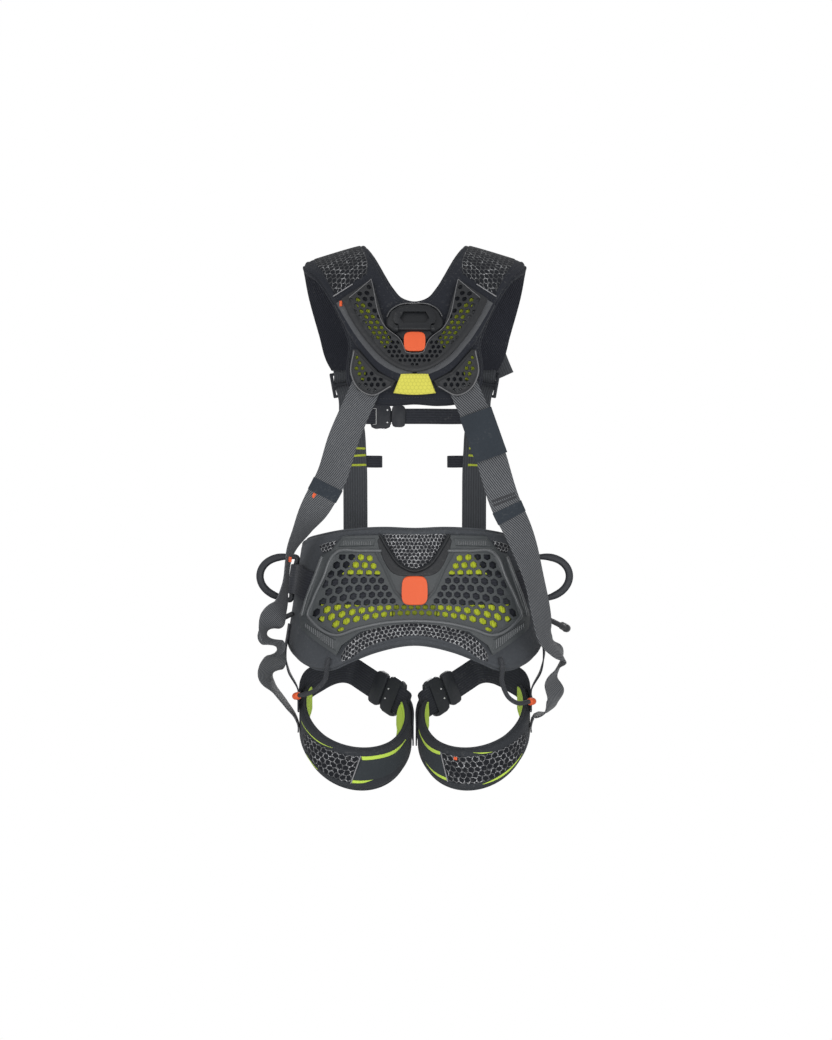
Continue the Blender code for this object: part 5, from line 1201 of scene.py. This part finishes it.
def rivets(name, matrix, apart):
    """Two small bright domes on the inner face of a buckle's frame: radii fall from the foot to the tip."""
    depths = -BUCKLE_T / 2 + np.array([0.0008, -0.0002, -0.0007, -0.0010])
    radii = np.array([0.0016, 0.0016, 0.0012, 0.0004])
    body = frame["nodes"][f"{name}_frame"]["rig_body"]
    for number, y in enumerate((apart / 2, -apart / 2)):
        path = np.array([in_frame(matrix, -0.006, y, z) for z in depths])
        tube(f"{name}_rivet_{number}", path, radii, "bright", 12, body=body)


def buckle(name, matrix, apart=0.0165):
    """A quick connect buckle's frame, tongue, levers and rivets."""
    rivets(name, matrix, apart)
    moulded(f"{name}_frame", "metal", 0.0010, 3)
    moulded(f"{name}_tongue", "metal", 0.0007, 2)
    moulded(f"{name}_lever_upper", "bright", 0.0008, 3)
    moulded(f"{name}_lever_lower", "bright", 0.0008, 3)


def chest():
    """The chest strap in two halves with its quick connect buckle."""
    lift = ON_SHOULDER + WEB_T + GAP + BOW_ROOM
    up = up_at_front(CHEST_Z)
    y = torso(0.0, up, lift)[1] - CHEST_DROP
    matrix = frame_at((CHEST_BUCKLE_X, y, CHEST_Z), (1.0, 0.0, 0.0), (0.0, 1.0, 0.0))

    def over_front_strap(side, x):
        point = torso(side * x, up, lift)
        across = torso(side * x, up - 0.005, lift) - torso(side * x, up + 0.005, lift)
        return (point[0], point[1], CHEST_Z), across

    route = [over_front_strap(LEFT, x) for x in (0.120, 0.111, 0.102)] + strap_into_frame(matrix, UP)
    web("chest_webbing_left", "chest_strap_left", route, CHEST_WEB)
    route = [over_front_strap(RIGHT, x) for x in (0.120, 0.111, 0.102, 0.084, 0.060)]
    route += strap_through_tongue(matrix, UP)[::-1]
    web("chest_webbing_right", "chest_strap_right", route, CHEST_WEB)
    buckle("chest_buckle", matrix, 0.020)


BELT_TOP = both_sides(mm([(-330.6, 15), (-320, 42), (-290, 58), (-240, 68), (-170, 77.5), (-105, 87),
                          (-50, 90), (0, 88.5)]))
BELT_FOOT = both_sides(mm([(-330.6, 5), (-323, -25), (-295, -50), (-245, -74), (-198, -94), (-152, -113),
                           (-130, -119), (-108, -117), (-90, -108), (-50, -90), (0, -80)]))

# Lines on the belt's shell and pad as seen from behind, (x, z): the rounded ribs round the field of holes
# and along its outer side, the green under the holes, the first and last ribs of the lower corners' blocks,
# the upper net's rim and collar, and the nets. The collar is a dark band, partly the shell's own black and
# partly painted shade of the hollow between the net and the shell; the ribs' lighter colour is painted
# highlight.
FRAME_RIB = (
    mm([(50, 57), (80, 56.8), (113.5, 54.8), (119, 50), (134.5, 16.5), (151.5, -19), (158, -40), (153, -46),
        (112.8, -66.5), (86.5, -57.5), (48, -48.2), (22, -45.5), (0, -44.6)]),
    mm([(136.5, 46), (150, 12), (162, -19), (167.6, -38.5)]),
)
FRAME_RIB_R = 0.0026
FRAME_RIB_AT = LUMBAR_HIGH + 0.0006
BLOCK_RIB_AT = LUMBAR_HIGH + RIB_RAISE - 0.0001
GREEN_MIDDLE = (both_sides(mm([(-33, -20.8), (0, -21)])),
                both_sides(mm([(-33, -44.8), (0, -43)])))
GREEN_FOOT = (mm([(143, -18.5), (100, -19.5), (33.2, -20.8)]),
              mm([(146, -45), (113, -62.5), (87, -55), (33.2, -44.8)]))
GREEN_TOP = (mm([(87, 52), (98.5, 34.5), (113, 19)]),
             mm([(54, 52), (48, 34.5), (43, 19)]))
HEEL_OUTER = mm([(163.5, -50.5), (163.5, -55)])
HEEL_INNER = mm([(117, -74.5), (117, -87.5)])
BAR_RIB = mm([(0, 65.5), (0, 68), (0, 70.5)])
NET_RIM = both_sides(mm([(-50, 79), (-38.7, 59.4), (-21.2, 36.2), (0, 27.6)]))
# The collar's dark band is partly painted shade of the hollow round the upper net.
NET_COLLAR = (both_sides(mm([(-51, 77.5), (-40, 58), (-22.2, 34.5), (0, 25.8)])),
              both_sides(mm([(-54.5, 72), (-49, 52), (-31, 24), (0, 19.6)])))
NET_MIDDLE = (both_sides(mm([(-48, 81.5), (-24, 81.5), (0, 81.2)])),
              both_sides(mm([(-46.8, 77.5), (-34.5, 57.5), (-19, 38.2), (0, 31)])))
NET_FOOT = (both_sides(mm([(-112, -96.5), (-102, -81.5), (-78, -62.5), (-43, -52.2), (0, -47.8)])),
            both_sides(mm([(-111, -106), (-99, -101.5), (-75, -86), (-40, -73), (0, -66.5)])))
NET_SIDE = (mm([(148, 64), (133, 69), (118, 72.5)]),
            mm([(142, 53), (135, 54.5), (125.5, 58)]))


def seen(lines, side=RIGHT):
    """Lines given as seen from behind, turned to a side and laid on the belt."""
    return [on_belt(mirrored(line, side)) for line in lines]


def belt_net(name, edges, counts):
    """A panel of netted cloth on the belt pad."""
    overlay(name, belt, edges, NET_T, "belt net", BELT_PAD_T - SINK, NET_EDGE, counts)


def belt_side(name, side):
    """One side of the belt: the shell's ribs, the green under its holes, ribbed blocks and a small net."""
    # The frame ribs take the lighter rib look, whose colour is painted highlight on the ridges.
    for number, line in enumerate(seen(FRAME_RIB, side)):
        trim(f"frame_rib_{number}_{name}", belt, line, FRAME_RIB_AT, FRAME_RIB_R, "rib", 160, slot="shell")
    green(f"green_foot_{name}", belt, seen(GREEN_FOOT, side), BELT_LINER_LOW, (100, 30))
    green(f"green_top_{name}", belt, seen(GREEN_TOP, side), BELT_LINER_LOW, (40, 40))
    heels = []
    for share in np.linspace(0.06, 0.94, HEEL_RIBS):
        upper, lower = (1.0 - share) * HEEL_OUTER + share * HEEL_INNER
        heels.append([upper, (upper + lower) / 2, lower])
    bars = [BAR_RIB + (x, 0.0) for x in np.linspace(0.064, 0.103, BAR_RIBS)]
    # The heel and bar ribs take the lighter rib look, painted highlight on the ridges.
    for part, ribs, radius in (("heel", heels, 0.0009), ("bar", bars, 0.0008)):
        for number, line in enumerate(seen(ribs, side)):
            trim(f"{part}_rib_{name}_{number}", belt, line, BLOCK_RIB_AT, radius, "rib", 12)
    belt_net(f"belt_net_{name}", seen(NET_SIDE, side), (40, 20))


def lumbar():
    """The belt pad with its nets, the liner, the perforated shell and a plain badge."""
    # The belt pad's cloth is the lighter copy of the pad cloth: painted light.
    pad = cushion("belt_foam", belt, BELT_TOP, BELT_FOOT, BELT_PAD_T, ["belt pad"], edge=0.007,
                  counts=(300, 52), seam=SEAM_INSET, nodes=["belt_pad"], slot="pad")
    edges = {"top": BELT_TOP, "foot": BELT_FOOT}
    bound_edges("belt", "", belt, edges, BELT_PAD_T, "belt pad", (300, 300, 700), slice(12, -12))
    moulded("belt_liner", "pad", 0.0003, 1)
    moulded("lumbar_shell", "shell")
    green("green_foot", belt, seen(GREEN_MIDDLE), BELT_LINER_LOW, (60, 24), "dim mesh")
    for name, side in SIDES.items():
        belt_side(name, side)
    trim("belt_net_rim", belt, on_belt(NET_RIM), LUMBAR_HIGH - SINK, 0.0024, "hub", 160, slot="shell")
    # The dark collar round the upper net is partly painted shade of the hollow there.
    overlay("net_collar_and_painted_shade", belt, seen(NET_COLLAR), 0.0011, "hub", LUMBAR_HIGH - 0.0003, 0.003, (160, 20),
            slot="shell")
    belt_net("belt_net_middle", seen(NET_MIDDLE), (80, 40))
    belt_net("belt_net_foot", seen(NET_FOOT), (160, 24))
    badge("belt_badge", belt, -0.0008, 0.0178, 0.0212, LUMBAR_HIGH - 0.0002, RIM_RAISE + BADGE_T)


def waist():
    """The waist webbing from buckle to buckle round the back, with the side rings and the gear loops."""
    y = belt(WAIST_HALF_ROUND, 0.0, WAIST_BUCKLE_STANDOFF)[1]
    middle = (FRAME_L - TONGUE_L) / 2
    matrix = frame_at((middle, y, 0.0), (1.0, 0.0, 0.0), (0.0, 1.0, 0.0))
    flat = BELT_WEB_LOW + WEB_T / 2
    over = BELT_PAD_T + 2 * GAP + 2 * RING_BAR_R + GAP + WEB_T / 2
    rise = 0.020
    front = [(0.045, 0.0, flat), (0.090, 0.0, flat), (0.135, 0.0, flat), (0.170, 0.006, flat)]
    front += [(RING_AROUND - rise - 0.014, RING_Z, flat), (RING_AROUND - rise, RING_Z, flat)]
    front += [(RING_AROUND - 0.005, RING_Z, over), (RING_AROUND + 0.005, RING_Z, over)]
    front += [(RING_AROUND + rise, RING_Z, flat), (RING_AROUND + rise + 0.014, RING_Z, flat)]
    front += [(0.290, 0.006, flat), (0.325, 0.0, flat), (0.345, 0.0, 0.0140), (0.365, 0.0, 0.0092)]
    left_front = front + [(0.385, 0.0, 0.0085)]

    def station(around, z, height):
        return belt(around, z, height), belt_up(around, z, height)

    route = strap_into_frame(matrix, UP)[::-1]
    route += [station(-a, z, h) for a, z, h in reversed(left_front)]
    route += [station(a, z, h) for a, z, h in [(0.0, 0.0, flat)] + front]
    route += strap_through_tongue(matrix, UP)[::-1]
    web("waist_band", "waist_webbing", route, MAIN_WEB, step=0.005)
    buckle("waist_buckle", matrix)
    for name, side in SIDES.items():
        side_ring(name, side)
        gear_loop(name, side)


def side_ring(name, side):
    """A D ring: a round bar under the waist webbing, and a flatter bow that blends into it.

    For t from -pi / 2 to pi / 2 the bow stands out by its reach times cos(t)^0.8, and lies at half its height
    times sin(t) up.
    """
    height = BELT_PAD_T + GAP + RING_BAR_R
    base = belt(side * RING_AROUND, RING_Z, height)
    upward = belt_up(side * RING_AROUND, RING_Z, height)
    out = belt(side * RING_AROUND, RING_Z, height + 0.01) - base
    out = unit(out - np.dot(out, upward) * upward)
    bow = np.linspace(-0.5 * math.pi, 0.5 * math.pi, 17)
    bar = np.linspace(RING_HALF_HEIGHT, -RING_HALF_HEIGHT, 6)[1:-1]
    n = np.concatenate([RING_REACH * np.cos(bow) ** 0.8, np.zeros(len(bar))])
    z = np.concatenate([RING_HALF_HEIGHT * np.sin(bow), bar])
    corner = n[:, None] * out + z[:, None] * upward
    loop = np.concatenate([corner[-6:], corner, corner[:6]])
    along = distances(loop)
    fine = smooth_path(loop, 400)
    at = np.linspace(0.0, along[-1], 400)
    centre = fine[(at >= along[6]) & (at < along[6 + len(corner)])]
    n = centre @ out
    ahead = unit(np.roll(centre, -1, axis=0) - np.roll(centre, 1, axis=0))
    flat_way = np.cross(out, upward)
    in_plane = np.cross(ahead, flat_way)
    share = np.clip((n - 0.008) / 0.020, 0.0, 1.0)[:, None, None]
    wide = RING_BAR_R + (RING_BOW_HALF_WIDTH - RING_BAR_R) * share
    thick = RING_BAR_R + (RING_BOW_HALF_T - RING_BAR_R) * share
    angles = np.linspace(0.0, 2 * math.pi, 20, endpoint=False)
    rounded = [np.sign(wave) * np.abs(wave) ** 0.75 for wave in (np.cos(angles), np.sin(angles))]
    across, through = (wave[None, :, None] for wave in rounded)
    rings = base + centre[:, None] + wide * across * in_plane[:, None] + thick * through * flat_way
    along = distances(np.concatenate([centre, centre[:1]]))
    sweep(f"side_d_{name}", rings, along, np.linspace(0.0, 0.03, 21), ["metal"], closed=True,
          body=f"side_ring_{name}", nodes=[f"side_ring_{name}"], slot="metal")


def gear_loop(name, side):
    """A stiff hose loop on the belt with a thicker grip at its tip."""
    height = BELT_PAD_T + GAP + GEAR_HOSE_R
    rear, front = (belt(side * a, GEAR_Z, height) for a in (GEAR_REAR, GEAR_FRONT))
    out, down = np.array([side * 1.0, 0.0, 0.0]), np.array([0.0, 0.0, -1.0])
    shares = [(0.0, 0.0), (0.04, 0.45), (0.20, 0.88), (0.36, 1.0)]
    shares += [(1.0 - along, reach) for along, reach in reversed(shares)]
    tip_x = abs(rear[0]) + GEAR_OUT
    points = []
    for along, reach in shares:
        base = rear + (front - rear) * along
        points.append(base + out * (tip_x - abs(base[0])) * reach + down * GEAR_DROP * reach)
    count = 120
    path = smooth_path(points, count)
    share = np.linspace(0.0, 1.0, count)
    grip = np.clip((0.17 - np.abs(share - 0.5)) / 0.03, 0.0, 1.0)
    rings = 0.00025 * grip * np.sin(share * 260.0)
    radii = GEAR_HOSE_R + (GEAR_GRIP_R - GEAR_HOSE_R) * grip**2 * (3 - 2 * grip) + rings
    tube(f"gear_hose_{name}", *round_ends(path, radii), "hose", 18, body=f"gear_loop_{name}",
         nodes=[f"gear_loop_{name}"], slot="hose")


# Stations of the back straps below the yoke: (point in millimetres, the way of the width), as in the CAD
BACK_ROUTE = {
    "left": [
        ((-104.3, -131, 218.8), (0.95, 0.0, -0.32)),
        ((-122.2, -126, 163.5), (0.93, 0.05, -0.36)),
        ((-141.8, -119, 127), (0.85, 0.30, -0.40)),
        ((-166, -108, 85.7), (0.38, 0.87, -0.30)),
        ((-186, -90, 45.5), (0.09, 0.99, -0.05)),
        ((-193, -83, 5), (0.12, 0.99, 0.00)),
        ((-199, -85, -24.4), (0.35, 0.90, -0.20)),
        ((-211, -90, -46), (0.65, 0.55, -0.50)),
        ((-221, -86, -66), (0.10, 0.98, -0.10)),
        ((-214, -72, -80), (-0.45, 0.80, -0.40)),
        ((-206, -62, -90.5), (0.05, 0.95, -0.30)),
        ((-212, -56, -111.7), (0.55, 0.70, -0.45)),
        ((-220, -46, -132), (0.40, 0.85, -0.30)),
        ((-212, -34, -154), (0.00, 0.98, 0.10)),
        ((-195, -21, -180), (0.00, 0.99, 0.05)),
    ],
    "right": [
        ((97.5, -132, 233.5), (0.93, 0.0, 0.37)),
        ((109, -130, 201.3), (0.93, 0.0, 0.37)),
        ((132.4, -126, 127), (0.94, 0.1, 0.33)),
        ((153, -120, 83), (0.90, 0.35, 0.25)),
        ((176, -113, 13.8), (0.68, 0.72, 0.12)),
        ((187, -108, -38), (0.65, 0.75, 0.15)),
        ((193, -104, -69), (0.45, 0.80, 0.35)),
        ((205, -94, -86), (0.10, 0.85, 0.50)),
        ((220, -78, -99), (0.02, 0.97, 0.20)),
        ((214, -66, -119), (0.20, 0.97, 0.00)),
        ((205, -60, -139), (0.45, 0.88, 0.05)),
        ((212, -52, -162), (0.60, 0.78, 0.05)),
        ((206, -38, -183), (0.20, 0.97, -0.10)),
        ((194, -24, -194), (0.10, 0.99, -0.05)),
    ],
}


def on_leg(side, degrees, rise, height):
    """A station of a strap that hangs down over a leg loop, with its width round the thigh."""
    angle = math.radians(degrees)
    across = leg(side, angle - 0.02, rise, height) - leg(side, angle + 0.02, rise, height)
    return leg(side, angle, rise, height), unit(across * (1.0, 1.0, 0.0))


def back_straps():
    """The grey straps from under the yoke's wings, past the hips and in loose folds to the leg loops."""
    middle = YOKE_WEB_LOW + WEB_T / 2
    on_pad = LEG_PAD_T + GAP + WEB_T / 2
    outside = on_pad + WEB_T + GAP + 2 * BOW_ROOM
    way = unit(np.array([0.019, -0.040]))
    reach = np.array([-way[1], way[0]]) * 0.002
    for name, side in SIDES.items():
        route = []
        for x, up in mm([(70, 36), (77, 21), (85, 4)]):
            across = torso(x + reach[0], up + reach[1], middle) - torso(x - reach[0], up - reach[1], middle)
            route.append((torso(side * x, up, middle), across * (1.0, side, side)))
        route += [(mm(point), across) for point, across in BACK_ROUTE[name]]
        ends = ((3.0, 0.001, outside), (4.0, -0.011, on_pad), (5.0, -0.021, on_pad))
        route += [on_leg(side, *end) for end in ends]
        look = "left twill" if side == LEFT else "twill"
        web(f"back_webbing_{name}", f"back_strap_{name}", route, MAIN_WEB, look, "twill", step=0.003)

    (start, start_across), (end, end_across) = BACK_ROUTE["right"][:2]
    start, end = mm(start), mm(end)
    way = unit(end - start)
    lift = np.array([0.0, -1.0, 0.0]) * (WEB_T / 2 + GAP + POCKET_T / 2 + BOW_ROOM)
    pocket = [(start + lift + way * along, start_across) for along in (-0.027, -0.012, 0.005)]
    pocket += [(end + lift + way * along, end_across) for along in (-0.005, 0.009)]
    web("pocket_sleeve", "label_pocket", pocket, MAIN_WEB + 0.004, "label", "pad", thickness=POCKET_T)
    sleeve("keeper_left", "back_webbing_left", (-0.1270, -0.1240, 0.1420), 0.020, MAIN_WEB + 0.002)
    sleeve("keeper_right", "back_webbing_right", (0.1385, -0.1250, 0.1130), 0.018, MAIN_WEB + 0.002)
    bar_tack("strap_tag", "back_webbing_left", (-0.1375, -0.1210, 0.1330), 0.0060, -0.0110, "orange", 0.0075)
    tag = [((-0.1842, -0.1010, z), (1.0, 0.1, 0.0)) for z in (0.0475, 0.0440, 0.0400)]
    strap("ring_tag", tag, 0.0048, "orange", TAG_T, 0.002)
    for number, z in enumerate((0.1360, 0.1300)):
        bar_tack(f"back_tack_{number}", "back_webbing_right", (0.1310, -0.1262, z), 0.038, 0.0, "thread")


# What is sewn on the leg pads: (degrees round the thigh, rise in millimetres) of the upper and the lower edge
LEG_TRIM = {
    "left": {
        "net": (((28, 6), (36, 11.5), (51, 15), (69, 18), (96, 19.5)),
                ((28, -10), (36, -15.5), (50, -19), (65, -21.5), (87, -21.2))),
        "panel": (((97.5, 14), (115, 13.8), (134, 12.4), (160, 12)),
                  ((89, -16.2), (104, -16.2), (125, -15), (160, -10))),
        "upper_green": (((97.5, 19.5), (115, 19), (134, 17.2), (154, 17)),
                        ((98.5, 13.7), (115, 13.5), (134, 11.8), (154, 16.3))),
        "lower_green": (((89, -16.5), (100, -16), (114, -13.5)),
                        ((88, -21.2), (100, -19.6), (114, -14))),
        "outer_green": (((20, 15), (38, 18), (56, 20), (70, 22.5)),
                        ((20, 14.5), (38, 16.6), (56, 18.5), (70, 22))),
        "foot_green": (((34, -19.5), (42, -21.5), (52, -23.2)),
                       ((34, -20), (42, -22.8), (52, -23.8))),
    },
    "right": {
        "net": (((28, 6), (36, 11.5), (51, 15), (69, 17.8), (96, 19.5), (125, 18.7)),
                ((28, -10), (36, -15), (50, -17.2), (65, -19.2), (90, -21.5), (117, -20.7))),
        "panel": (((127, 14.2), (140, 11.4), (152, 11), (166, 10.5)),
                  ((119, -16), (135, -15.2), (150, -13), (166, -9))),
        "upper_green": (((126.5, 18.8), (138, 16.8), (150, 15.5), (168, 16.5)),
                        ((127, 14), (138, 11.2), (150, 10.8), (168, 15.7))),
        "lower_green": (((119, -16), (133, -15.5), (150, -13)),
                        ((118, -20.7), (133, -19), (150, -13.6))),
        "outer_green": (((74, 19.2), (83, 22.2), (93, 24.8)),
                        ((74, 18.6), (83, 20.3), (93, 24.3))),
        "foot_green": (((35, -16.5), (50, -18.6), (62, -20.3), (84, -24)),
                       ((35, -17.1), (50, -21.4), (62, -24), (84, -24.8))),
        "tag": (((108.2, 17.8), (111.8, 17.8)), ((108.2, 13.2), (111.8, 13.2))),
    },
}
LEG_SEAM = {"left": ((97, 19.5), (92.5, -1), (88, -21.2)),
            "right": ((126, 18.8), (122, -1), (118, -20.8))}
LEG_LOOK = {"net": "net", "panel": "panel", "tag": "orange"}

# How far the lining swells inwards at the inner end of each leg pad
LEG_LINING = {"left": 0.0125, "right": 0.0060}


def leg_half(share):
    """Half the height of a leg pad along it: widest at the rear, rounded off at its ends."""
    ends = LEG_PAD_OUTER + (LEG_PAD_INNER - LEG_PAD_OUTER) * share
    half = ends + (LEG_PAD_REAR - ends) * np.sin(math.pi * share) ** 1.5
    round_off = np.clip(np.minimum(share, 1.0 - share) / 0.035, 0.0, 1.0)
    return half * (0.70 + 0.30 * np.sqrt(round_off))


def leg_line(*stations):
    """A line round the thigh from (degrees, rise in millimetres) stations, as distances."""
    return np.array([(math.radians(degrees) * THIGH_R, rise * MM) for degrees, rise in stations])


def leg_pad(name, side):
    """The padded part of a leg loop: black edges, a net on its outer side, a panel and green crescents."""
    form = thigh(side)
    share = np.linspace(0.0, 1.0, 90)
    around = (LEG_PAD_FROM + (LEG_PAD_TO - LEG_PAD_FROM) * share) * THIGH_R
    half = leg_half(share)
    top, foot = np.stack([around, half], 1), np.stack([around, -half], 1)
    # The leg pads' cloth is a lighter copy of the pad cloth: painted light.
    pad = cushion(f"leg_foam_{name}", form, top, foot, LEG_PAD_T, ["leg pad", "lining"], edge=0.008,
                  fullness=2.3, counts=(200, 44), free_ends=(True, True), nodes=[f"leg_pad_{name}"],
                  slot="pad")
    low = LEG_PAD_T - SINK
    edges = {"top": top, "foot": foot}
    bound_edges("leg", f"_{name}", form, edges, LEG_PAD_T, "leg pad", (200, 160, 320), slice(8, -8),
                inset=0.006, sink=0.0006, binding_at=0.40)
    for part, lines in LEG_TRIM[name].items():
        height = NET_T if part in ("net", "panel") else NET_T * 0.8
        lift = NET_T * 0.7 if part == "tag" else 0.0
        edges = [leg_line(*line) for line in lines]
        look = LEG_LOOK.get(part, "lining")
        overlay(f"leg_{part}_{name}", form, edges, height, look, low + lift, TRIM_EDGE, (70, 26))
    swell = [leg_line(*((degrees, rise) for degrees in (158, 172, 186, 201))) for rise in (18.5, -18.5)]
    overlay(f"leg_lining_{name}", form, swell, -LEG_LINING[name], "lining", 0.0006, 0.016, (60, 30),
            fullness=1.7, slot="liner")
    seam = leg_line(*LEG_SEAM[name])
    trim(f"leg_piping_{name}", form, seam, LEG_PAD_T + NET_T * 0.8, PIPING_R, "piping", 40)


def leg_loops():
    """The leg pads, their straps and buckles, the links up to the belt and the elastic risers."""
    on_pad = LEG_PAD_T + GAP + WEB_T / 2 + BOW_ROOM / 2
    on_belt_pad = BELT_PAD_T + GAP + WEB_T / 2
    for name, side in SIDES.items():
        leg_pad(name, side)
        origin = leg(side, LEG_BUCKLE_AT, 0.0, LEG_BUCKLE_STANDOFF)
        ahead = leg(side, LEG_BUCKLE_AT + 0.05, 0.0, LEG_BUCKLE_STANDOFF) - origin
        outward = leg(side, LEG_BUCKLE_AT, 0.0, LEG_BUCKLE_STANDOFF + 0.01) - origin
        matrix = frame_at(origin, ahead, outward)
        buckle(f"leg_buckle_{name}", matrix)
        across = np.array(matrix.to_3x3() @ Vector((0.0, 1.0, 0.0)))
        across = across if across[2] > 0 else -across
        route = [(leg(side, math.radians(a), 0.0, on_pad), UP) for a in (176.0, 184.0, 192.0, 199.0, 205.0)]
        route += strap_into_frame(matrix, across)
        web(f"leg_tab_webbing_{name}", f"leg_tab_{name}", route, MAIN_WEB)
        climb = ((-9.0, 0.0, on_pad), (-17.0, 0.004, on_pad), (-25.0, 0.011, on_pad))
        climb += ((-30.0, 0.014, on_pad - 0.001), (-44.0, 0.016, 0.006))
        route = [(leg(side, math.radians(a), rise, h), UP) for a, rise, h in climb]
        route += strap_through_tongue(matrix, across, LEG_STRAP_SPARE)[::-1]
        web(f"leg_webbing_{name}", f"leg_strap_{name}", route, MAIN_WEB)

        link = []
        for z in (-0.056, -0.076, -0.096):
            ahead = belt(side * 0.208, z, on_belt_pad) - belt(side * 0.204, z, on_belt_pad)
            link.append((belt(side * 0.206, z, on_belt_pad), ahead))
        link.append(((side * 0.1925, -0.028, -0.126), (0.0, 1.0, 0.0)))
        link += [on_leg(side, 7.0, rise, on_pad - BOW_ROOM / 2) for rise in (0.044, 0.026, 0.013)]
        web(f"leg_link_webbing_{name}", f"leg_link_{name}", link, LINK_WEB)
        riser(name, side)


# Points of the elastic risers between the belt pad and the leg loop, as in the CAD
RISER = {
    "left": mm([(-132, -105, -133), (-145, -96, -148), (-160, -80, -157), (-173, -66, -161)]),
    "right": mm([(129, -107, -138), (138, -101, -159), (153, -88, -170), (171, -70, -170)]),
}


def riser(name, side):
    """An elastic cord from the tip of the belt pad to a toggle on the leg loop."""
    height = BELT_PAD_T + GAP + RISER_R
    points = [belt(side * 0.1110, -0.1010, height), belt(side * 0.1125, -0.1090, height), *RISER[name]]
    path = smooth_path(points, 70)
    cord = tube(f"riser_braid_{name}", path, RISER_R, "cord", 16, nodes=[f"riser_cord_{name}"],
                slot="webbing")
    way = unit(path[-1] - path[-2])
    shares = np.array([0.0, 0.04, 0.12, 0.22, 0.34, 0.5, 0.66, 0.8, 0.9, 0.97, 1.0])
    radii = TOGGLE_R * np.array([0.60, 0.80, 0.97, 1.0, 0.92, 1.0, 0.95, 0.86, 0.72, 0.50, 0.25])
    centres = path[-1] + way * GAP + shares[:, None] * way * TOGGLE_L
    toggle = tube(f"riser_end_{name}", centres, radii, "orange", 20, nodes=[f"riser_toggle_{name}"],
                  slot="orange")


# The camera, the floor and the lights: name, place, target, size and power
CAMERA_AT = (0.002, -2.53, 0.102)
LENS = 56.9
FLOOR_HALF = 0.55
FLOOR_Z = -1.02
FLOOR_GLOW = 0.22
ROOM_LIGHT = 0.52
LIGHTS = (
    ("key", (-1.6, -2.3, 0.9), (0.0, 0.0, 0.0), 1.5, 18.0),
    ("fill", (1.8, -2.2, 0.2), (0.0, 0.0, -0.05), 1.6, 12.0),
    ("front", (0.2, -3.2, -0.35), (0.0, 0.0, -0.1), 2.0, 43.0),
    ("top", (0.0, -0.6, 2.2), (0.0, 0.0, 0.1), 1.2, 3.0),
    ("chest side", (0.5, 2.6, 0.7), (0.0, 0.0, 0.1), 1.8, 30.0),
)


def camera():
    """A level camera behind the harness, at the distance the photograph suggests."""
    data = bpy.data.cameras.new("camera")
    data.lens = LENS
    data.clip_end = 50.0
    item = show("camera", data)
    item.location = CAMERA_AT
    item.rotation_euler = (math.radians(90.0), 0.0, 0.0)
    bpy.context.scene.camera = item


def area_light(name, place, target, size, power):
    """A large soft light turned to a target."""
    data = bpy.data.lights.new(name, "AREA")
    data.shape = "DISK"
    data.size = size
    data.energy = power
    item = show(name, data)
    item.location = place
    item.rotation_euler = (Vector(target) - Vector(place)).to_track_quat("-Z", "Y").to_euler()


def background_rays(sketch):
    """1 for a ray that shows the background to the camera, in a reflection or through glass, and else 0."""
    camera_ray = sketch.add("LightPath", out="Is Camera Ray")
    others = [camera_ray.node.outputs[name] for name in ("Is Glossy Ray", "Is Transmission Ray")]
    return sketch.math("MAXIMUM", camera_ray, sketch.math("MAXIMUM", *others))


def studio():
    """A pale floor well below, soft lights from above and in front of the back panels, and a white room."""
    floor = bpy.data.meshes.new("floor")
    corners = [(x * FLOOR_HALF, y * FLOOR_HALF, FLOOR_Z) for x, y in ((-1, -1), (1, -1), (1, 1), (-1, 1))]
    floor.from_pydata(corners, [], [(0, 1, 2, 3)])
    paint = bpy.data.materials.new("pale floor")
    paint.use_nodes = True
    shader = paint.node_tree.nodes["Principled BSDF"]
    shader.inputs["Base Color"].default_value = (0.85, 0.85, 0.85, 1.0)
    shader.inputs["Roughness"].default_value = 0.9
    shader.inputs["Emission Color"].default_value = (1.0, 1.0, 1.0, 1.0)
    sketch = Sketch(paint.node_tree)
    sketch.put(shader.inputs["Emission Strength"], sketch.times(background_rays(sketch), FLOOR_GLOW))
    floor.materials.append(paint)
    item = show("floor", floor)

    for light in LIGHTS:
        area_light(*light)

    world = bpy.data.worlds.new("white room")
    world.use_nodes = True
    sketch = Sketch(world.node_tree)
    background = world.node_tree.nodes["Background"]
    background.inputs["Color"].default_value = (1.0, 1.0, 1.0, 1.0)
    strength = sketch.times_plus(background_rays(sketch), 1.0 - ROOM_LIGHT, ROOM_LIGHT)
    sketch.put(background.inputs["Strength"], strength)
    bpy.context.scene.world = world
    bpy.context.scene.view_settings.view_transform = "Standard"


camera()
yoke()
dorsal()
shoulders()
chest()
lumbar()
waist()
back_straps()
leg_loops()
studio()

bpy.context.view_layer.update()
